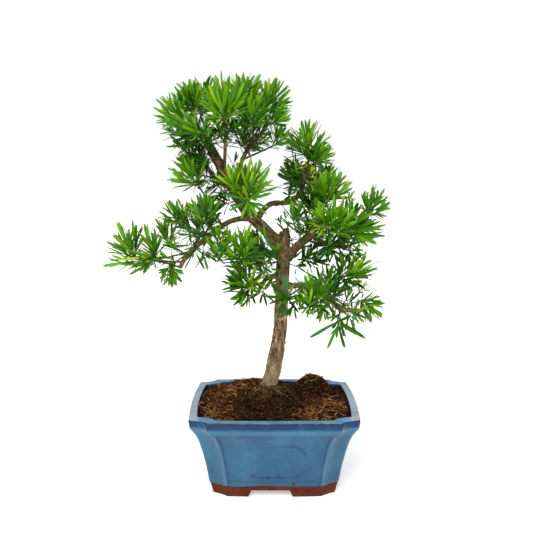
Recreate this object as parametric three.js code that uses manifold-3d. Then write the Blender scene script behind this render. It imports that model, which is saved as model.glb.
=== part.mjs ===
// Podocarpus bonsai in a glazed rectangular pot with notched corners. Millimetres, +Z up.
// Everything is worked out about the middle of the pot's foot; the finished group is then
// moved sideways so that its own outline is centred on the origin.
import * as THREE from "three";
import { mergeVertices } from "three/addons/utils/BufferGeometryUtils.js";
import Module from "manifold-3d";

const wasm = await Module();
wasm.setup();

const gap = 0.3; // clearance between pieces that touch
const goldenAngle = Math.PI * (3 - Math.sqrt(5));
const up = new THREE.Vector3(0, 0, 1);

// Pot: half sizes are taken at the corner tips, and the sides bow out between them.
const pot = {
  cornerLow: 17,
  cornerHigh: 21,
  cornerY: 9.5,
  bowLong: 1.5,
  bowShort: 3.5,
  wall: 10,
  floorTop: 27,
  bareTop: 17,
  lipFoot: 87,
  footHeight: 9.5,
  archCentreX: -4.5,
  archHalfX: 27,
  archHalfY: 27,
  archSlant: 4,
};

// Height, half length, half width and how hollow the corner notch is, from foot to rim.
const potProfile = [
  [0, 74.5, 57.5, 0.2],
  [17, 78.3, 60.5, 0.3],
  [35, 81, 61.8, 0.4],
  [55, 85.3, 64, 0.5],
  [70, 89.3, 66.5, 0.65],
  [80, 93.2, 70, 0.8],
  [87, 98, 73.5, 0.9],
  [90, 99.8, 74.5, 0.9],
  [99, 101, 75.5, 0.9],
  [101, 99.8, 74.3, 0.9],
];

// Soil: a low dome round the tree, with a clump standing at the back right.
const soil = {
  edge: 96.5,
  domeHeight: 9,
  domeCentre: [-6, 36],
  domeSpread: [46, 34],
  clumpHeight: 16.5,
  clumpCentre: [53, 46],
  clumpSpread: [14, 10],
  level: 106,
};

// Trunk and boughs: each row is the centre line's x, y, z and the radius there.
const limbs = {
  trunk: { sides: 12, path: [[-6, 40, 106, 10.6], [2, 38, 141, 10.2], [8, 33, 180, 8.3],
    [10, 27, 228, 8.1], [12, 19, 274, 8.4], [13, 18, 314, 6.2]] },
  bough_left: { from: "trunk", sides: 8, path: [[9, 18, 294, 6.9], [-12, 18, 317, 6.7],
    [-35, 16, 340, 6.3], [-55, 17, 376, 6.2], [-72, 21, 405, 5.7], [-85, 24, 428, 4.4]] },
  crown_branch_left: { from: "bough_left", sides: 6, path: [[-57, 17, 374, 2.8],
    [-74, 14, 383, 2.6], [-87, 8, 404, 2.4], [-93, 4, 423, 2.1]] },
  crown_branch_middle: { from: "bough_left", sides: 6, path: [[-62, 18, 388, 2.2],
    [-59, 6, 412, 1.9], [-58, -4, 434, 1.7]] },
  crown_branch_right: { from: "bough_left", sides: 6, path: [[-47, 17, 362, 2.4],
    [-41, 22, 396, 2.3], [-35, 24, 411, 2.2], [-26, 22, 428, 1.9]] },
  branch_right_upper: { from: "bough_left", sides: 6, path: [[-23, 17, 329, 3.3],
    [-5, 26, 347, 3.1], [20, 30, 350, 3], [34, 30, 363, 2.9], [38, 28, 392, 2.4]] },
  arm_left: { from: "bough_left", sides: 6, path: [[-29, 16, 332, 3.2], [-55, 2, 327, 3],
    [-87, -8, 304, 2.8], [-106, -10, 287, 2.7], [-114, -11, 273, 2.4]] },
  bough_right: { from: "trunk", sides: 8, path: [[12, 18, 278, 5.6], [29, 14, 295, 5],
    [46, 10, 313, 4.1], [56, 6, 331, 3]] },
  bough_right_outer: { from: "bough_right", sides: 6, path: [[45, 10, 312, 2.8],
    [59, 8, 302, 2.8], [76, 6, 297, 2.5], [92, 4, 296, 2.1]] },
  branch_low_right: { from: "trunk", sides: 6, path: [[10, 25, 243, 3.5], [42, 6, 246, 3.2],
    [61, -2, 236, 3.1], [85, -9, 221, 2.8], [105, -12, 219, 2.3]] },
  branch_low_left_upper: { from: "trunk", sides: 6, path: [[9, 20, 280, 3.3],
    [-12, -2, 290, 3.1], [-21, -8, 275, 2.5]] },
  branch_low_left: { from: "trunk", sides: 6, path: [[9, 22, 256, 2.9], [-8, 6, 257, 2.7],
    [-21, -2, 239, 2.2]] },
};

// Foliage masses: name, the limb each stem leaves, and the centre and half sizes of its space.
const masses = [
  ["crown_left_low", "crown_branch_left", [-122, 2, 462], [24, 26, 23]],
  ["crown_left_top", "crown_branch_left", [-101, 14, 478], [24, 26, 23]],
  ["crown_left_front", "crown_branch_left", [-104, -22, 435], [30, 24, 21]],
  ["crown_under", "crown_branch_left", [-99, 16, 405], [21, 22, 29]],
  ["crown_middle_front", "crown_branch_middle", [-55, -28, 468], [25, 28, 31]],
  ["crown_back_left", "bough_left", [-94, 56, 480], [30, 30, 28]],
  ["crown_right_top", "crown_branch_right", [2, 20, 478], [25, 27, 24]],
  ["crown_top", "crown_branch_right", [-34, 22, 485], [22, 27, 23]],
  ["crown_right_front", "crown_branch_right", [-22, -10, 456], [22, 24, 23]],
  ["crown_right_end", "crown_branch_right", [8, -4, 451], [20, 22, 18]],
  ["crown_right_twig", "crown_branch_right", [8, 10, 428], [17, 18, 18]],
  ["crown_back_right", "bough_left", [-28, 68, 473], [33, 30, 28]],
  ["under_crown_left", "arm_left", [-111, 4, 392], [31, 26, 30]],
  ["middle_front", "bough_left", [-33, -24, 377], [35, 26, 27]],
  ["middle_low_front", "bough_left", [-30, -50, 355], [27, 22, 18]],
  ["arm_top_inner", "arm_left", [-83, -16, 344], [24, 24, 20]],
  ["arm_top_outer", "arm_left", [-126, 8, 336], [21, 22, 21]],
  ["arm_root", "arm_left", [-64, -32, 309], [21, 24, 18]],
  ["arm_back", "arm_left", [-95, 44, 323], [31, 28, 26]],
  ["arm_outer_top", "arm_left", [-135, 14, 312], [17, 20, 21]],
  ["arm_tip", "arm_left", [-179, -6, 302], [27, 24, 27]],
  ["arm_tip_low", "arm_left", [-171, -24, 276], [36, 24, 17]],
  ["arm_outer_middle", "arm_left", [-149, -14, 302], [16, 22, 26]],
  ["arm_hanging", "arm_left", [-123, -16, 262], [19, 18, 16]],
  ["low_left_top", "branch_low_left_upper", [-37, -28, 300], [31, 26, 25]],
  ["low_left_bottom", "branch_low_left", [-43, -16, 252], [27, 24, 29]],
  ["low_left_back", "trunk", [-25, 54, 284], [29, 28, 26]],
  ["right_top", "branch_right_upper", [42, 28, 425], [30, 27, 25]],
  ["right_top_outer", "branch_right_upper", [68, 18, 412], [20, 22, 18]],
  ["right_dark", "branch_right_upper", [18, 40, 377], [23, 25, 27]],
  ["right_back_top", "branch_right_upper", [64, 76, 387], [32, 28, 29]],
  ["right_upper", "bough_right", [73, -4, 373], [24, 25, 23]],
  ["right_core", "bough_right", [49, 22, 358], [21, 20, 25]],
  ["right_front", "bough_right", [69, -30, 334], [27, 25, 27]],
  ["right_twig", "bough_right", [23, 4, 337], [16, 18, 17]],
  ["right_outer_top", "bough_right_outer", [119, -6, 350], [23, 24, 22]],
  ["right_outer_low", "bough_right_outer", [112, -14, 320], [25, 24, 20]],
  ["right_back", "bough_right_outer", [101, 48, 341], [28, 28, 28]],
  ["low_right_inner", "bough_right", [48, 8, 286], [25, 22, 20]],
  ["low_right_upper", "branch_low_right", [98, -8, 272], [33, 26, 24]],
  ["low_right_tip", "branch_low_right", [120, -16, 224], [19, 20, 22]],
  ["hanging_whorl", "branch_low_right", [74, -40, 203], [33, 26, 27]],
  ["low_right_middle", "branch_low_right", [49, -34, 252], [24, 24, 26]],
  ["low_right_front", "branch_low_right", [14, -34, 241], [22, 22, 26]],
  ["low_right_back", "branch_low_right", [74, 44, 242], [31, 28, 29]],
];

// Growth: how a mass's stem divides into shoots and how leaves stand round a shoot.
const growth = {
  shoots: 2,
  leavesPerShoot: 6,
  reachScale: 1.15,
  spread: 1.1,
  shortestShoot: 12,
  heartDepth: 0.5,
  stemRadius: 1.7,
  shootRadius: 1.2,
  tipRadius: 0.7,
  budSpacing: 6,
  leafLength: 42,
  leafShare: 0.8,
  leafWidth: 10,
  leafThickness: 1.4,
  widestAt: 0.42,
  steepAngle: 0.4,
  flatAngle: 1.25,
  clearOfLimb: 0.8,
  clearOfSpace: 0.1,
  clearOfLeaf: 2.6,
};

function finish(colour, roughness) {
  return new THREE.MeshStandardMaterial({ color: colour, roughness, metalness: 0 });
}

const finishes = {
  glaze: () => finish(0x46789f, 0.3),
  clay: () => finish(0x73372a, 0.85),
  earth: () => finish(0x3a2616, 0.95),
  bark: () => finish(0x8d7862, 0.9),
  leaf: () => finish(0x3f8f22, 0.5),
};

// A closed body through a stack of rings that all have the same number of points.
function loft(rings) {
  const count = rings[0].length;
  const positions = rings.flat().flatMap((point) => [point.x, point.y, point.z]);
  const triangles = [];
  for (let ring = 0; ring < rings.length - 1; ring += 1) {
    for (let side = 0; side < count; side += 1) {
      const a = ring * count + side;
      const b = ring * count + ((side + 1) % count);
      triangles.push(a, b, b + count, a, b + count, a + count);
    }
  }
  for (const [ring, turned] of [[0, true], [rings.length - 1, false]]) {
    const centre = positions.length / 3;
    const middle = averagePoint(rings[ring]);
    positions.push(middle.x, middle.y, middle.z);
    for (let side = 0; side < count; side += 1) {
      const a = ring * count + side;
      const b = ring * count + ((side + 1) % count);
      triangles.push(centre, ...(turned ? [b, a] : [a, b]));
    }
  }
  const geometry = new THREE.BufferGeometry();
  geometry.setAttribute("position", new THREE.Float32BufferAttribute(positions, 3));
  geometry.setIndex(triangles);
  return geometry;
}

function averagePoint(points) {
  const sum = new THREE.Vector3();
  points.forEach((point) => sum.add(point));
  return sum.divideScalar(points.length);
}

// Booleans: three.js geometry to a solid, and the largest closed body back again.
function toSolid(geometry) {
  const bare = geometry.clone();
  bare.deleteAttribute("normal");
  bare.deleteAttribute("uv");
  const merged = mergeVertices(bare, 1e-4);
  const vertProperties = new Float32Array(merged.attributes.position.array);
  const triVerts = new Uint32Array(merged.index.array);
  return new wasm.Manifold(new wasm.Mesh({ numProp: 3, vertProperties, triVerts }));
}

function toGeometry(solidBody) {
  const bodies = solidBody.decompose();
  bodies.sort((a, b) => b.volume() - a.volume());
  const mesh = bodies[0].getMesh();
  const geometry = new THREE.BufferGeometry();
  geometry.setAttribute("position", new THREE.Float32BufferAttribute(mesh.vertProperties, 3));
  geometry.setIndex(Array.from(mesh.triVerts));
  return geometry;
}

function joinAll(solids) {
  return solids.reduce((whole, next) => whole.add(next));
}

function namedMesh(name, geometry, material) {
  geometry.computeVertexNormals();
  const mesh = new THREE.Mesh(geometry, material);
  mesh.name = name;
  return mesh;
}

// ---- Pot ----

// One level of the pot: four bowed sides and four notched corners, run anticlockwise.
function potRing(height, halfLength, halfWidth, hollow) {
  const raised = Math.min(Math.max((height - pot.bareTop) / (pot.lipFoot - pot.bareTop), 0), 1);
  const innerX = halfLength - pot.cornerLow - (pot.cornerHigh - pot.cornerLow) * raised;
  const innerY = halfWidth - pot.cornerY;
  const points = [];
  const quarter = [[1, 1], [-1, 1], [-1, -1], [1, -1]];
  quarter.forEach(([signX, signY], index) => {
    const sideEnd = new THREE.Vector2(halfLength * signX, innerY * signY);
    const frontEnd = new THREE.Vector2(innerX * signX, halfWidth * signY);
    const chord = new THREE.Vector2().addVectors(sideEnd, frontEnd).multiplyScalar(0.5);
    const bend = new THREE.Vector2(innerX * signX, innerY * signY);
    bend.lerp(chord, 1 - hollow);
    const corner = new THREE.QuadraticBezierCurve(sideEnd, bend, frontEnd).getPoints(4);
    if (index % 2 === 1) corner.reverse();
    points.push(...corner);
    points.push(...bowedSide(halfLength, halfWidth, innerX, innerY, index));
  });
  return points.map((point) => new THREE.Vector3(point.x, point.y, height));
}

// The inner points of the side that follows corner number `index`.
function bowedSide(halfLength, halfWidth, innerX, innerY, index) {
  const steps = [0.5, 0, -0.5];
  const sign = index < 2 ? 1 : -1;
  if (index % 2 === 0) {
    return steps.map((t) => new THREE.Vector2(
      innerX * t * sign,
      (halfWidth + pot.bowLong * (1 - t * t)) * sign,
    ));
  }
  return steps.map((t) => new THREE.Vector2(
    -(halfLength + pot.bowShort * (1 - t * t)) * sign,
    innerY * t * sign,
  ));
}

function potLevel(height) {
  const upper = potProfile.findIndex((row) => row[0] >= height);
  if (potProfile[upper][0] === height || upper === 0) return potProfile[upper];
  const low = potProfile[upper - 1];
  const high = potProfile[upper];
  const share = (height - low[0]) / (high[0] - low[0]);
  return low.map((value, index) => value + (high[index] - value) * share);
}

function ringInside(height, inset) {
  const [, halfLength, halfWidth, hollow] = potLevel(height);
  return potRing(height, halfLength - inset, halfWidth - inset, hollow);
}

function makePotBody() {
  const outer = potProfile.filter((row) => row[0] >= pot.bareTop).map((row) => potRing(...row));
  const inner = [
    ringInside(100.6, pot.wall - 1),
    ringInside(98, pot.wall),
    ringInside(70, pot.wall - 1),
    ringInside(pot.floorTop, pot.wall),
  ];
  return loft([...outer, ...inner]);
}

// The bare clay under the glaze: a band on four feet, with arches between them.
function makePotBase() {
  const top = pot.bareTop - gap;
  const block = toSolid(loft([ringInside(0, 0), ringInside(pot.footHeight, 0), ringInside(top, 0)]));
  const alongY = archTunnel(pot.archHalfX);
  alongY.rotateX(Math.PI / 2);
  alongY.translate(pot.archCentreX, 150, 0);
  const alongX = archTunnel(pot.archHalfY);
  alongX.rotateX(Math.PI / 2);
  alongX.rotateZ(Math.PI / 2);
  alongX.translate(-150, 0, 0);
  return toGeometry(block.subtract(toSolid(alongY)).subtract(toSolid(alongX)));
}

function archTunnel(halfWidth) {
  const outline = new THREE.Shape([
    new THREE.Vector2(-halfWidth, -5),
    new THREE.Vector2(halfWidth, -5),
    new THREE.Vector2(halfWidth, 0),
    new THREE.Vector2(halfWidth - pot.archSlant, pot.footHeight),
    new THREE.Vector2(pot.archSlant - halfWidth, pot.footHeight),
    new THREE.Vector2(-halfWidth, 0),
  ]);
  return new THREE.ExtrudeGeometry(outline, { depth: 300, bevelEnabled: false, steps: 1 });
}

// ---- Soil ----

function bump(x, y, centre, spreadX, spreadY) {
  const alongX = (x - centre[0]) / spreadX;
  const alongY = (y - centre[1]) / spreadY;
  return Math.exp(-0.5 * (alongX * alongX + alongY * alongY));
}

function soilHeight(x, y, share) {
  const dome = soil.domeHeight * bump(x, y, soil.domeCentre, ...soil.domeSpread);
  const clump = soil.clumpHeight * bump(x, y, soil.clumpCentre, ...soil.clumpSpread);
  return soil.edge + (dome + clump) * (1 - share ** 8);
}

function makeSoil() {
  const inset = pot.wall + gap;
  const rings = [
    ringInside(pot.floorTop + gap, inset + 0.5),
    ringInside(70, inset),
    ringInside(soil.edge, inset + 0.5),
  ];
  const rim = rings[2];
  for (const share of [0.93, 0.82, 0.68, 0.5, 0.3, 0.12]) {
    rings.push(rim.map((point) => new THREE.Vector3(
      point.x * share,
      point.y * share,
      soilHeight(point.x * share, point.y * share, share),
    )));
  }
  const [footX, footY, , footRadius] = limbs.trunk.path[0];
  const seat = new THREE.CylinderGeometry(footRadius + 2, footRadius + 2, 30, 16);
  seat.rotateX(Math.PI / 2);
  seat.translate(footX, footY, soil.level - gap + 15);
  return toGeometry(toSolid(loft(rings)).subtract(toSolid(seat)));
}

// ---- Trunk and boughs ----

// A limb's centre line and radius as evenly numbered samples on a smooth curve.
function limbSamples(path, perStep) {
  const curve = new THREE.CatmullRomCurve3(path.map(([x, y, z]) => new THREE.Vector3(x, y, z)));
  const count = (path.length - 1) * perStep;
  const samples = [];
  for (let step = 0; step <= count; step += 1) {
    const place = (step / count) * (path.length - 1);
    const low = Math.min(Math.floor(place), path.length - 2);
    const radius = path[low][3] + (path[low + 1][3] - path[low][3]) * (place - low);
    samples.push({ point: curve.getPoint(step / count), radius });
  }
  return samples;
}

// Rings square to the centre line, carried along it without twisting.
function tubeRings(samples, sides, firstTangent) {
  const rings = [];
  let across = null;
  samples.forEach((sample, index) => {
    const before = samples[Math.max(index - 1, 0)].point;
    const after = samples[Math.min(index + 1, samples.length - 1)].point;
    const tangent = new THREE.Vector3().subVectors(after, before).normalize();
    if (index === 0 && firstTangent) tangent.copy(firstTangent);
    if (across === null) {
      across = new THREE.Vector3(1, 0, 0);
      if (Math.abs(tangent.x) > 0.8) across.set(0, 1, 0);
    }
    across.addScaledVector(tangent, -across.dot(tangent)).normalize();
    const other = new THREE.Vector3().crossVectors(tangent, across);
    const ring = [];
    for (let side = 0; side < sides; side += 1) {
      const angle = (side / sides) * Math.PI * 2;
      ring.push(sample.point.clone()
        .addScaledVector(across, Math.cos(angle) * sample.radius)
        .addScaledVector(other, Math.sin(angle) * sample.radius));
    }
    rings.push(ring);
  });
  return rings;
}

function makeTrunk() {
  const { path, sides } = limbs.trunk;
  return loft(tubeRings(limbSamples(path, 2), sides, up));
}

// The limb's shape grown by the clearance all round, to cut what meets it.
function clearanceOf(name) {
  const { path, sides } = limbs[name];
  const samples = limbSamples(path, 2);
  const last = samples.length - 1;
  const endRun = new THREE.Vector3().subVectors(samples[last].point, samples[last - 1].point);
  samples[last].point.addScaledVector(endRun.normalize(), gap);
  samples.forEach((sample) => {
    sample.radius += gap / Math.cos(Math.PI / sides);
  });
  return toSolid(loft(tubeRings(samples, sides, name === "trunk" ? up : null)));
}

function makeBough(name) {
  const { path, sides, from } = limbs[name];
  const body = toSolid(loft(tubeRings(limbSamples(path, 2), sides)));
  return toGeometry(body.subtract(clearanceOf(from)));
}

// ---- Foliage ----

// A repeatable run of numbers from 0 to 1 (the minimal standard generator).
function randomRun(seed) {
  let state = seed;
  return () => {
    state = (state * 16807) % 2147483647;
    return state / 2147483647;
  };
}

// How far out a point lies in a mass's space: 0 at the centre, 1 at the edge.
function depthIn(mass, point) {
  const x = (point.x - mass.centre.x) / mass.reach.x;
  const y = (point.y - mass.centre.y) / mass.reach.y;
  const z = (point.z - mass.centre.z) / mass.reach.z;
  return x * x + y * y + z * z;
}

// Distance from a point inside a mass's space to its edge along a direction.
function runToEdge(mass, from, direction) {
  const start = new THREE.Vector3().subVectors(from, mass.centre).divide(mass.reach);
  const run = direction.clone().divide(mass.reach);
  const a = run.lengthSq();
  const b = start.dot(run);
  const c = start.lengthSq() - 1;
  return (-b + Math.sqrt(Math.max(b * b - a * c, 0))) / a;
}

// Each stem leaves its limb at the free place nearest to its mass, one bud apart.
function placeStems() {
  const taken = {};
  return masses.map(([name, limb, centre, reach]) => {
    const mass = { name, limb, centre: new THREE.Vector3(...centre) };
    mass.reach = new THREE.Vector3(...reach).multiplyScalar(growth.reachScale);
    const line = limbSamples(limbs[limb].path, 8);
    const lengths = [0];
    for (let index = 1; index < line.length; index += 1) {
      lengths.push(lengths[index - 1] + line[index].point.distanceTo(line[index - 1].point));
    }
    const away = line.map((sample) => sample.point.distanceTo(mass.centre));
    const nearest = lengths[away.indexOf(Math.min(...away))];
    taken[limb] = taken[limb] ?? [];
    const places = line.map((_, index) => index);
    const free = places.filter((index) => (
      taken[limb].every((place) => Math.abs(place - lengths[index]) >= growth.budSpacing)));
    free.sort((a, b) => Math.abs(lengths[a] - nearest) - Math.abs(lengths[b] - nearest));
    taken[limb].push(lengths[free[0]]);
    mass.root = line[free[0]].point;
    const back = new THREE.Vector3().subVectors(mass.root, mass.centre).normalize();
    back.z -= 0.5;
    back.normalize();
    const sunk = growth.heartDepth * runToEdge(mass, mass.centre, back);
    mass.heart = mass.centre.clone().addScaledVector(back, sunk);
    return mass;
  });
}

const grown = placeStems();

function distanceToSegment(point, start, end) {
  const run = new THREE.Vector3().subVectors(end, start);
  const share = new THREE.Vector3().subVectors(point, start).dot(run) / run.lengthSq();
  return point.distanceTo(start.clone().addScaledVector(run, Math.min(Math.max(share, 0), 1)));
}

function squareTo(axis) {
  const other = Math.abs(axis.z) > 0.9 ? new THREE.Vector3(1, 0, 0) : up;
  return new THREE.Vector3().crossVectors(axis, other).normalize();
}

// Everything a leaf or twig has to keep off: limbs, and the other masses' stems.
const limbRuns = Object.values(limbs).flatMap(({ path }) => {
  const samples = limbSamples(path, 2);
  return samples.slice(1).map((sample, index) => ({
    start: samples[index].point,
    end: sample.point,
    radius: Math.max(sample.radius, samples[index].radius),
  }));
});
const stemRuns = grown.map((mass) => ({
  start: mass.root,
  end: mass.heart,
  radius: growth.stemRadius,
  mass,
}));

function isFree(mass, point, halfWidth) {
  const own = depthIn(mass, point);
  if (own > 1.02) return false;
  const limit = own + growth.clearOfSpace;
  if (grown.some((other) => other !== mass && depthIn(other, point) < limit)) return false;
  const margin = halfWidth + growth.clearOfLimb;
  const near = (run) => distanceToSegment(point, run.start, run.end) < run.radius + margin;
  return !limbRuns.some(near) && !stemRuns.some((run) => run.mass !== mass && near(run));
}

function threeSided(...stations) {
  const samples = stations.map(([point, radius]) => ({ point, radius }));
  return toSolid(loft(tubeRings(samples, 3)));
}

// A leaf blade: a long pointed diamond with a keel along its underside, its root in the twig.
function leafSolid(root, direction, side, length) {
  const under = new THREE.Vector3().crossVectors(side, direction);
  const middle = root.clone().addScaledVector(direction, length * growth.widestAt);
  const corners = [
    middle.clone().addScaledVector(side, growth.leafWidth / 2),
    middle.clone().addScaledVector(side, -growth.leafWidth / 2),
    middle.clone().addScaledVector(under, growth.leafThickness),
  ];
  const tip = root.clone().addScaledVector(direction, length);
  const geometry = new THREE.BufferGeometry();
  geometry.setFromPoints([root, tip, ...corners]);
  geometry.setIndex([1, 2, 3, 1, 3, 4, 1, 4, 2, 0, 3, 2, 0, 4, 3, 0, 2, 4]);
  return toSolid(geometry);
}

// A blade that would cut one already grown is turned or shortened instead.
function leafCrosses(placed, root, direction, length) {
  return [0.3, 0.45, 0.6, 0.75, 0.9, 1].some((share) => {
    const point = root.clone().addScaledVector(direction, length * share);
    return placed.some(({ start, end }) => distanceToSegment(point, start, end) < growth.clearOfLeaf);
  });
}

function leafFits(mass, root, direction, side, length) {
  return [0.3, growth.widestAt, 0.65, 0.85, 1].every((share) => {
    const halfWidth = share === 1 ? 0.2 : (growth.leafWidth / 2) * Math.min(1, (1 - share) / 0.5);
    const point = root.clone().addScaledVector(direction, length * share);
    return [-halfWidth, 0, halfWidth].every((offset) => (
      isFree(mass, point.clone().addScaledVector(side, offset), growth.leafThickness)));
  });
}

// Leaves wind round a shoot by the golden angle, steep at its tip and flatter lower down.
function leavesOnShoot(mass, start, end, placed, random) {
  const axis = new THREE.Vector3().subVectors(end, start).normalize();
  const across = squareTo(axis);
  const leaves = [];
  const turnStart = random() * Math.PI * 2;
  for (let number = 0; number < growth.leavesPerShoot; number += 1) {
    const share = number / (growth.leavesPerShoot - 1);
    const angle = growth.steepAngle + (growth.flatAngle - growth.steepAngle) * share + (random() - 0.5) * 0.2;
    const root = end.clone().lerp(start, 0.08 + 0.72 * share);
    const leaf = [0, 0.5, -0.5, 1].map((turn) => {
      const out = across.clone().applyAxisAngle(axis, turnStart + goldenAngle * number + turn);
      return fittedLeaf(mass, root, axis, out, angle, placed);
    }).find((found) => found);
    if (leaf) {
      placed.push(leaf.run);
      leaves.push(leaf.body);
    }
  }
  return leaves;
}

// The longest leaf that stays in the mass's space on this side of the shoot, if there is one.
function fittedLeaf(mass, root, axis, out, angle, placed) {
  const direction = axis.clone().multiplyScalar(Math.cos(angle)).addScaledVector(out, Math.sin(angle));
  const side = new THREE.Vector3().crossVectors(axis, direction).normalize();
  const edge = runToEdge(mass, root, direction);
  const longest = Math.min(Math.max(edge, growth.leafLength * 0.7), growth.leafLength);
  const length = [longest, longest * 0.8, longest * 0.62].find((choice) => (
    leafFits(mass, root, direction, side, choice) && !leafCrosses(placed, root, direction, choice)));
  if (!length) return null;
  const run = {
    start: root.clone().addScaledVector(direction, length * 0.25),
    end: root.clone().addScaledVector(direction, length),
  };
  return { run, body: leafSolid(root, direction, side, length) };
}

// The stem runs on as the first shoot, and the others fan out from where it bends.
function makeMass(mass, index) {
  const random = randomRun(1009 + index * 7919);
  const axis = new THREE.Vector3().subVectors(mass.centre, mass.heart).normalize();
  axis.addScaledVector(up, 0.4).normalize();
  const across = squareTo(axis);
  const turnStart = random() * Math.PI * 2;
  const pieces = [];
  const placed = [];
  for (let number = 0; number < growth.shoots; number += 1) {
    const tilt = growth.spread * Math.sqrt((number + 0.3) / growth.shoots);
    const out = across.clone().applyAxisAngle(axis, turnStart + goldenAngle * number);
    const direction = axis.clone().multiplyScalar(Math.cos(tilt)).addScaledVector(out, Math.sin(tilt));
    const room = runToEdge(mass, mass.heart, direction) - growth.leafLength * growth.leafShare;
    const run = Math.max(room, growth.shortestShoot);
    const end = [1, 0.7, 0.4].map((share) => mass.heart.clone().addScaledVector(direction, run * share))
      .find((place) => isFree(mass, place, growth.shootRadius));
    if (!end) continue;
    const stations = [[mass.heart, growth.shootRadius], [end, growth.tipRadius]];
    if (number === 0) stations.unshift([mass.root, growth.stemRadius]);
    pieces.push(threeSided(...stations));
    pieces.push(...leavesOnShoot(mass, mass.heart, end, placed, random));
  }
  return toGeometry(joinAll(pieces).subtract(clearanceOf(mass.limb)));
}

// ---- Assembly ----

const bonsai = new THREE.Group();
bonsai.add(namedMesh("pot_body", makePotBody(), finishes.glaze()));
bonsai.add(namedMesh("pot_base", makePotBase(), finishes.clay()));
bonsai.add(namedMesh("soil", makeSoil(), finishes.earth()));
bonsai.add(namedMesh("trunk", makeTrunk(), finishes.bark()));
for (const name of Object.keys(limbs)) {
  if (name !== "trunk") bonsai.add(namedMesh(name, makeBough(name), finishes.bark()));
}
grown.forEach((mass, index) => {
  bonsai.add(namedMesh(`leaves_${mass.name}`, makeMass(mass, index), finishes.leaf()));
});

const outline = new THREE.Box3().setFromObject(bonsai);
const middle = outline.getCenter(new THREE.Vector3());
bonsai.position.set(-middle.x, -middle.y, 0);
bonsai.updateMatrixWorld(true);

export default bonsai;
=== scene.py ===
import math

import bmesh
import bpy
import numpy as np
from mathutils import Matrix, Vector, noise


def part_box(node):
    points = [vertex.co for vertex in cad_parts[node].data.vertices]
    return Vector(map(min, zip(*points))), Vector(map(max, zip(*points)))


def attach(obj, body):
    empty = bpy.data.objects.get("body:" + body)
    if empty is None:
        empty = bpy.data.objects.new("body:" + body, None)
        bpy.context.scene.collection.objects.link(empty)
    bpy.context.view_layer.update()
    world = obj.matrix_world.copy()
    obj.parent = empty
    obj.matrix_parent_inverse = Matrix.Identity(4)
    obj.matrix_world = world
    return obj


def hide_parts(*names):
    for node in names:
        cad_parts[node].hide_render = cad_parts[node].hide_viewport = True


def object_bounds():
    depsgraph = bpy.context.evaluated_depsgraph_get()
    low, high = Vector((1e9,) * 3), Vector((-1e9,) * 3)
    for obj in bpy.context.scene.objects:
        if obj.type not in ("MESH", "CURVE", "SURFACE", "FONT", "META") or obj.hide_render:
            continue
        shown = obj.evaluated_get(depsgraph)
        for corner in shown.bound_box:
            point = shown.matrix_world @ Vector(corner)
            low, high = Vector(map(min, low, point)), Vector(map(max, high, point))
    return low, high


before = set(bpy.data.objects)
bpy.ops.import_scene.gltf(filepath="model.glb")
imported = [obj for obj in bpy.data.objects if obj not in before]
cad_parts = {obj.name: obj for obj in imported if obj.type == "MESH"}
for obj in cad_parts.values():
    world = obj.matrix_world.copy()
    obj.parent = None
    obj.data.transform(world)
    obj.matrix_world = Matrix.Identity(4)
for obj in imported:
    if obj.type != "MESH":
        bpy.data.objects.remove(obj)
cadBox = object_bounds()

# Sizes are millimetres, measured from the middle of the pot's foot, with the table at 0.
mm = 0.001
potLow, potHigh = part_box("pot_body")
potMiddle = np.array([(potLow.x + potHigh.x) / 2, (potLow.y + potHigh.y) / 2, 0]) / mm
goldenAngle = math.pi * (3 - math.sqrt(5))
upward = np.array([0.0, 0.0, 1.0])


def toRow(points):
    return (np.asarray(points, float) + potMiddle) * mm


def unit(vector):
    vector = np.asarray(vector, float)
    return vector / max(np.linalg.norm(vector), 1e-12)


def smoothStep(low, high, value):
    share = np.clip((value - low) / (high - low), 0, 1)
    return share * share * (3 - 2 * share)


def layeredNoise(point, scale):  # about -1 to 1
    return noise.fractal(point * scale, 1.0, 2.0, 2)


def hump(away, spread):  # 1 where a distance is 0, falling off smoothly beyond the spread
    return np.exp(-((away / spread) ** 2))


def lengthsAlong(line):
    return np.concatenate([[0], np.cumsum(np.linalg.norm(np.diff(line, axis=0), axis=1))])


# A numbered place on a line: the point there, the sample before it and the run to the next.
def pointOn(line, place):
    low = min(int(place), len(line) - 2)
    run = line[low + 1] - line[low]
    return line[low] + run * (place - low), low, run


def linked(name, data):
    item = bpy.data.objects.new(name, data)
    bpy.context.scene.collection.objects.link(item)
    return item


def pointsOf(mesh, kind="co"):
    values = np.empty(len(mesh.vertices) * 3)
    mesh.vertices.foreach_get(kind, values)
    return values.reshape(-1, 3)


def markPoints(mesh, **marks):
    for name, values in marks.items():
        mesh.attributes.new(name, "FLOAT", "POINT").data.foreach_set("value", values.astype(np.float32))


# Camera, lights and floor
view = {
    "eye": (-9.3, -744.8, 391.5),
    "pitchDown": 9.093,
    "fieldOfView": 46.985,
    "floorSize": 9.0,
    "backdropColour": (0.99, 0.99, 0.99),
}


def addCamera():
    data = bpy.data.cameras.new("camera")
    data.sensor_fit = "HORIZONTAL"
    data.angle = math.radians(view["fieldOfView"])
    data.clip_start = 0.01
    data.dof.use_dof = False
    camera = linked("camera", data)
    camera.location = Vector(toRow(view["eye"]))
    camera.rotation_euler = (math.radians(90 - view["pitchDown"]), 0, 0)
    bpy.context.scene.camera = camera


lights = {
    "backdropStrength": 1.0,
    "skyStrength": 0.55,
    "floorGlow": 0.43,
    "key": ((0.4, 0.85, -0.95), 1.7, 30),  # the way it shines, strength, softness
    "fill": ((-0.75, 0.7, -0.45), 0.55, 50),
}


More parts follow.
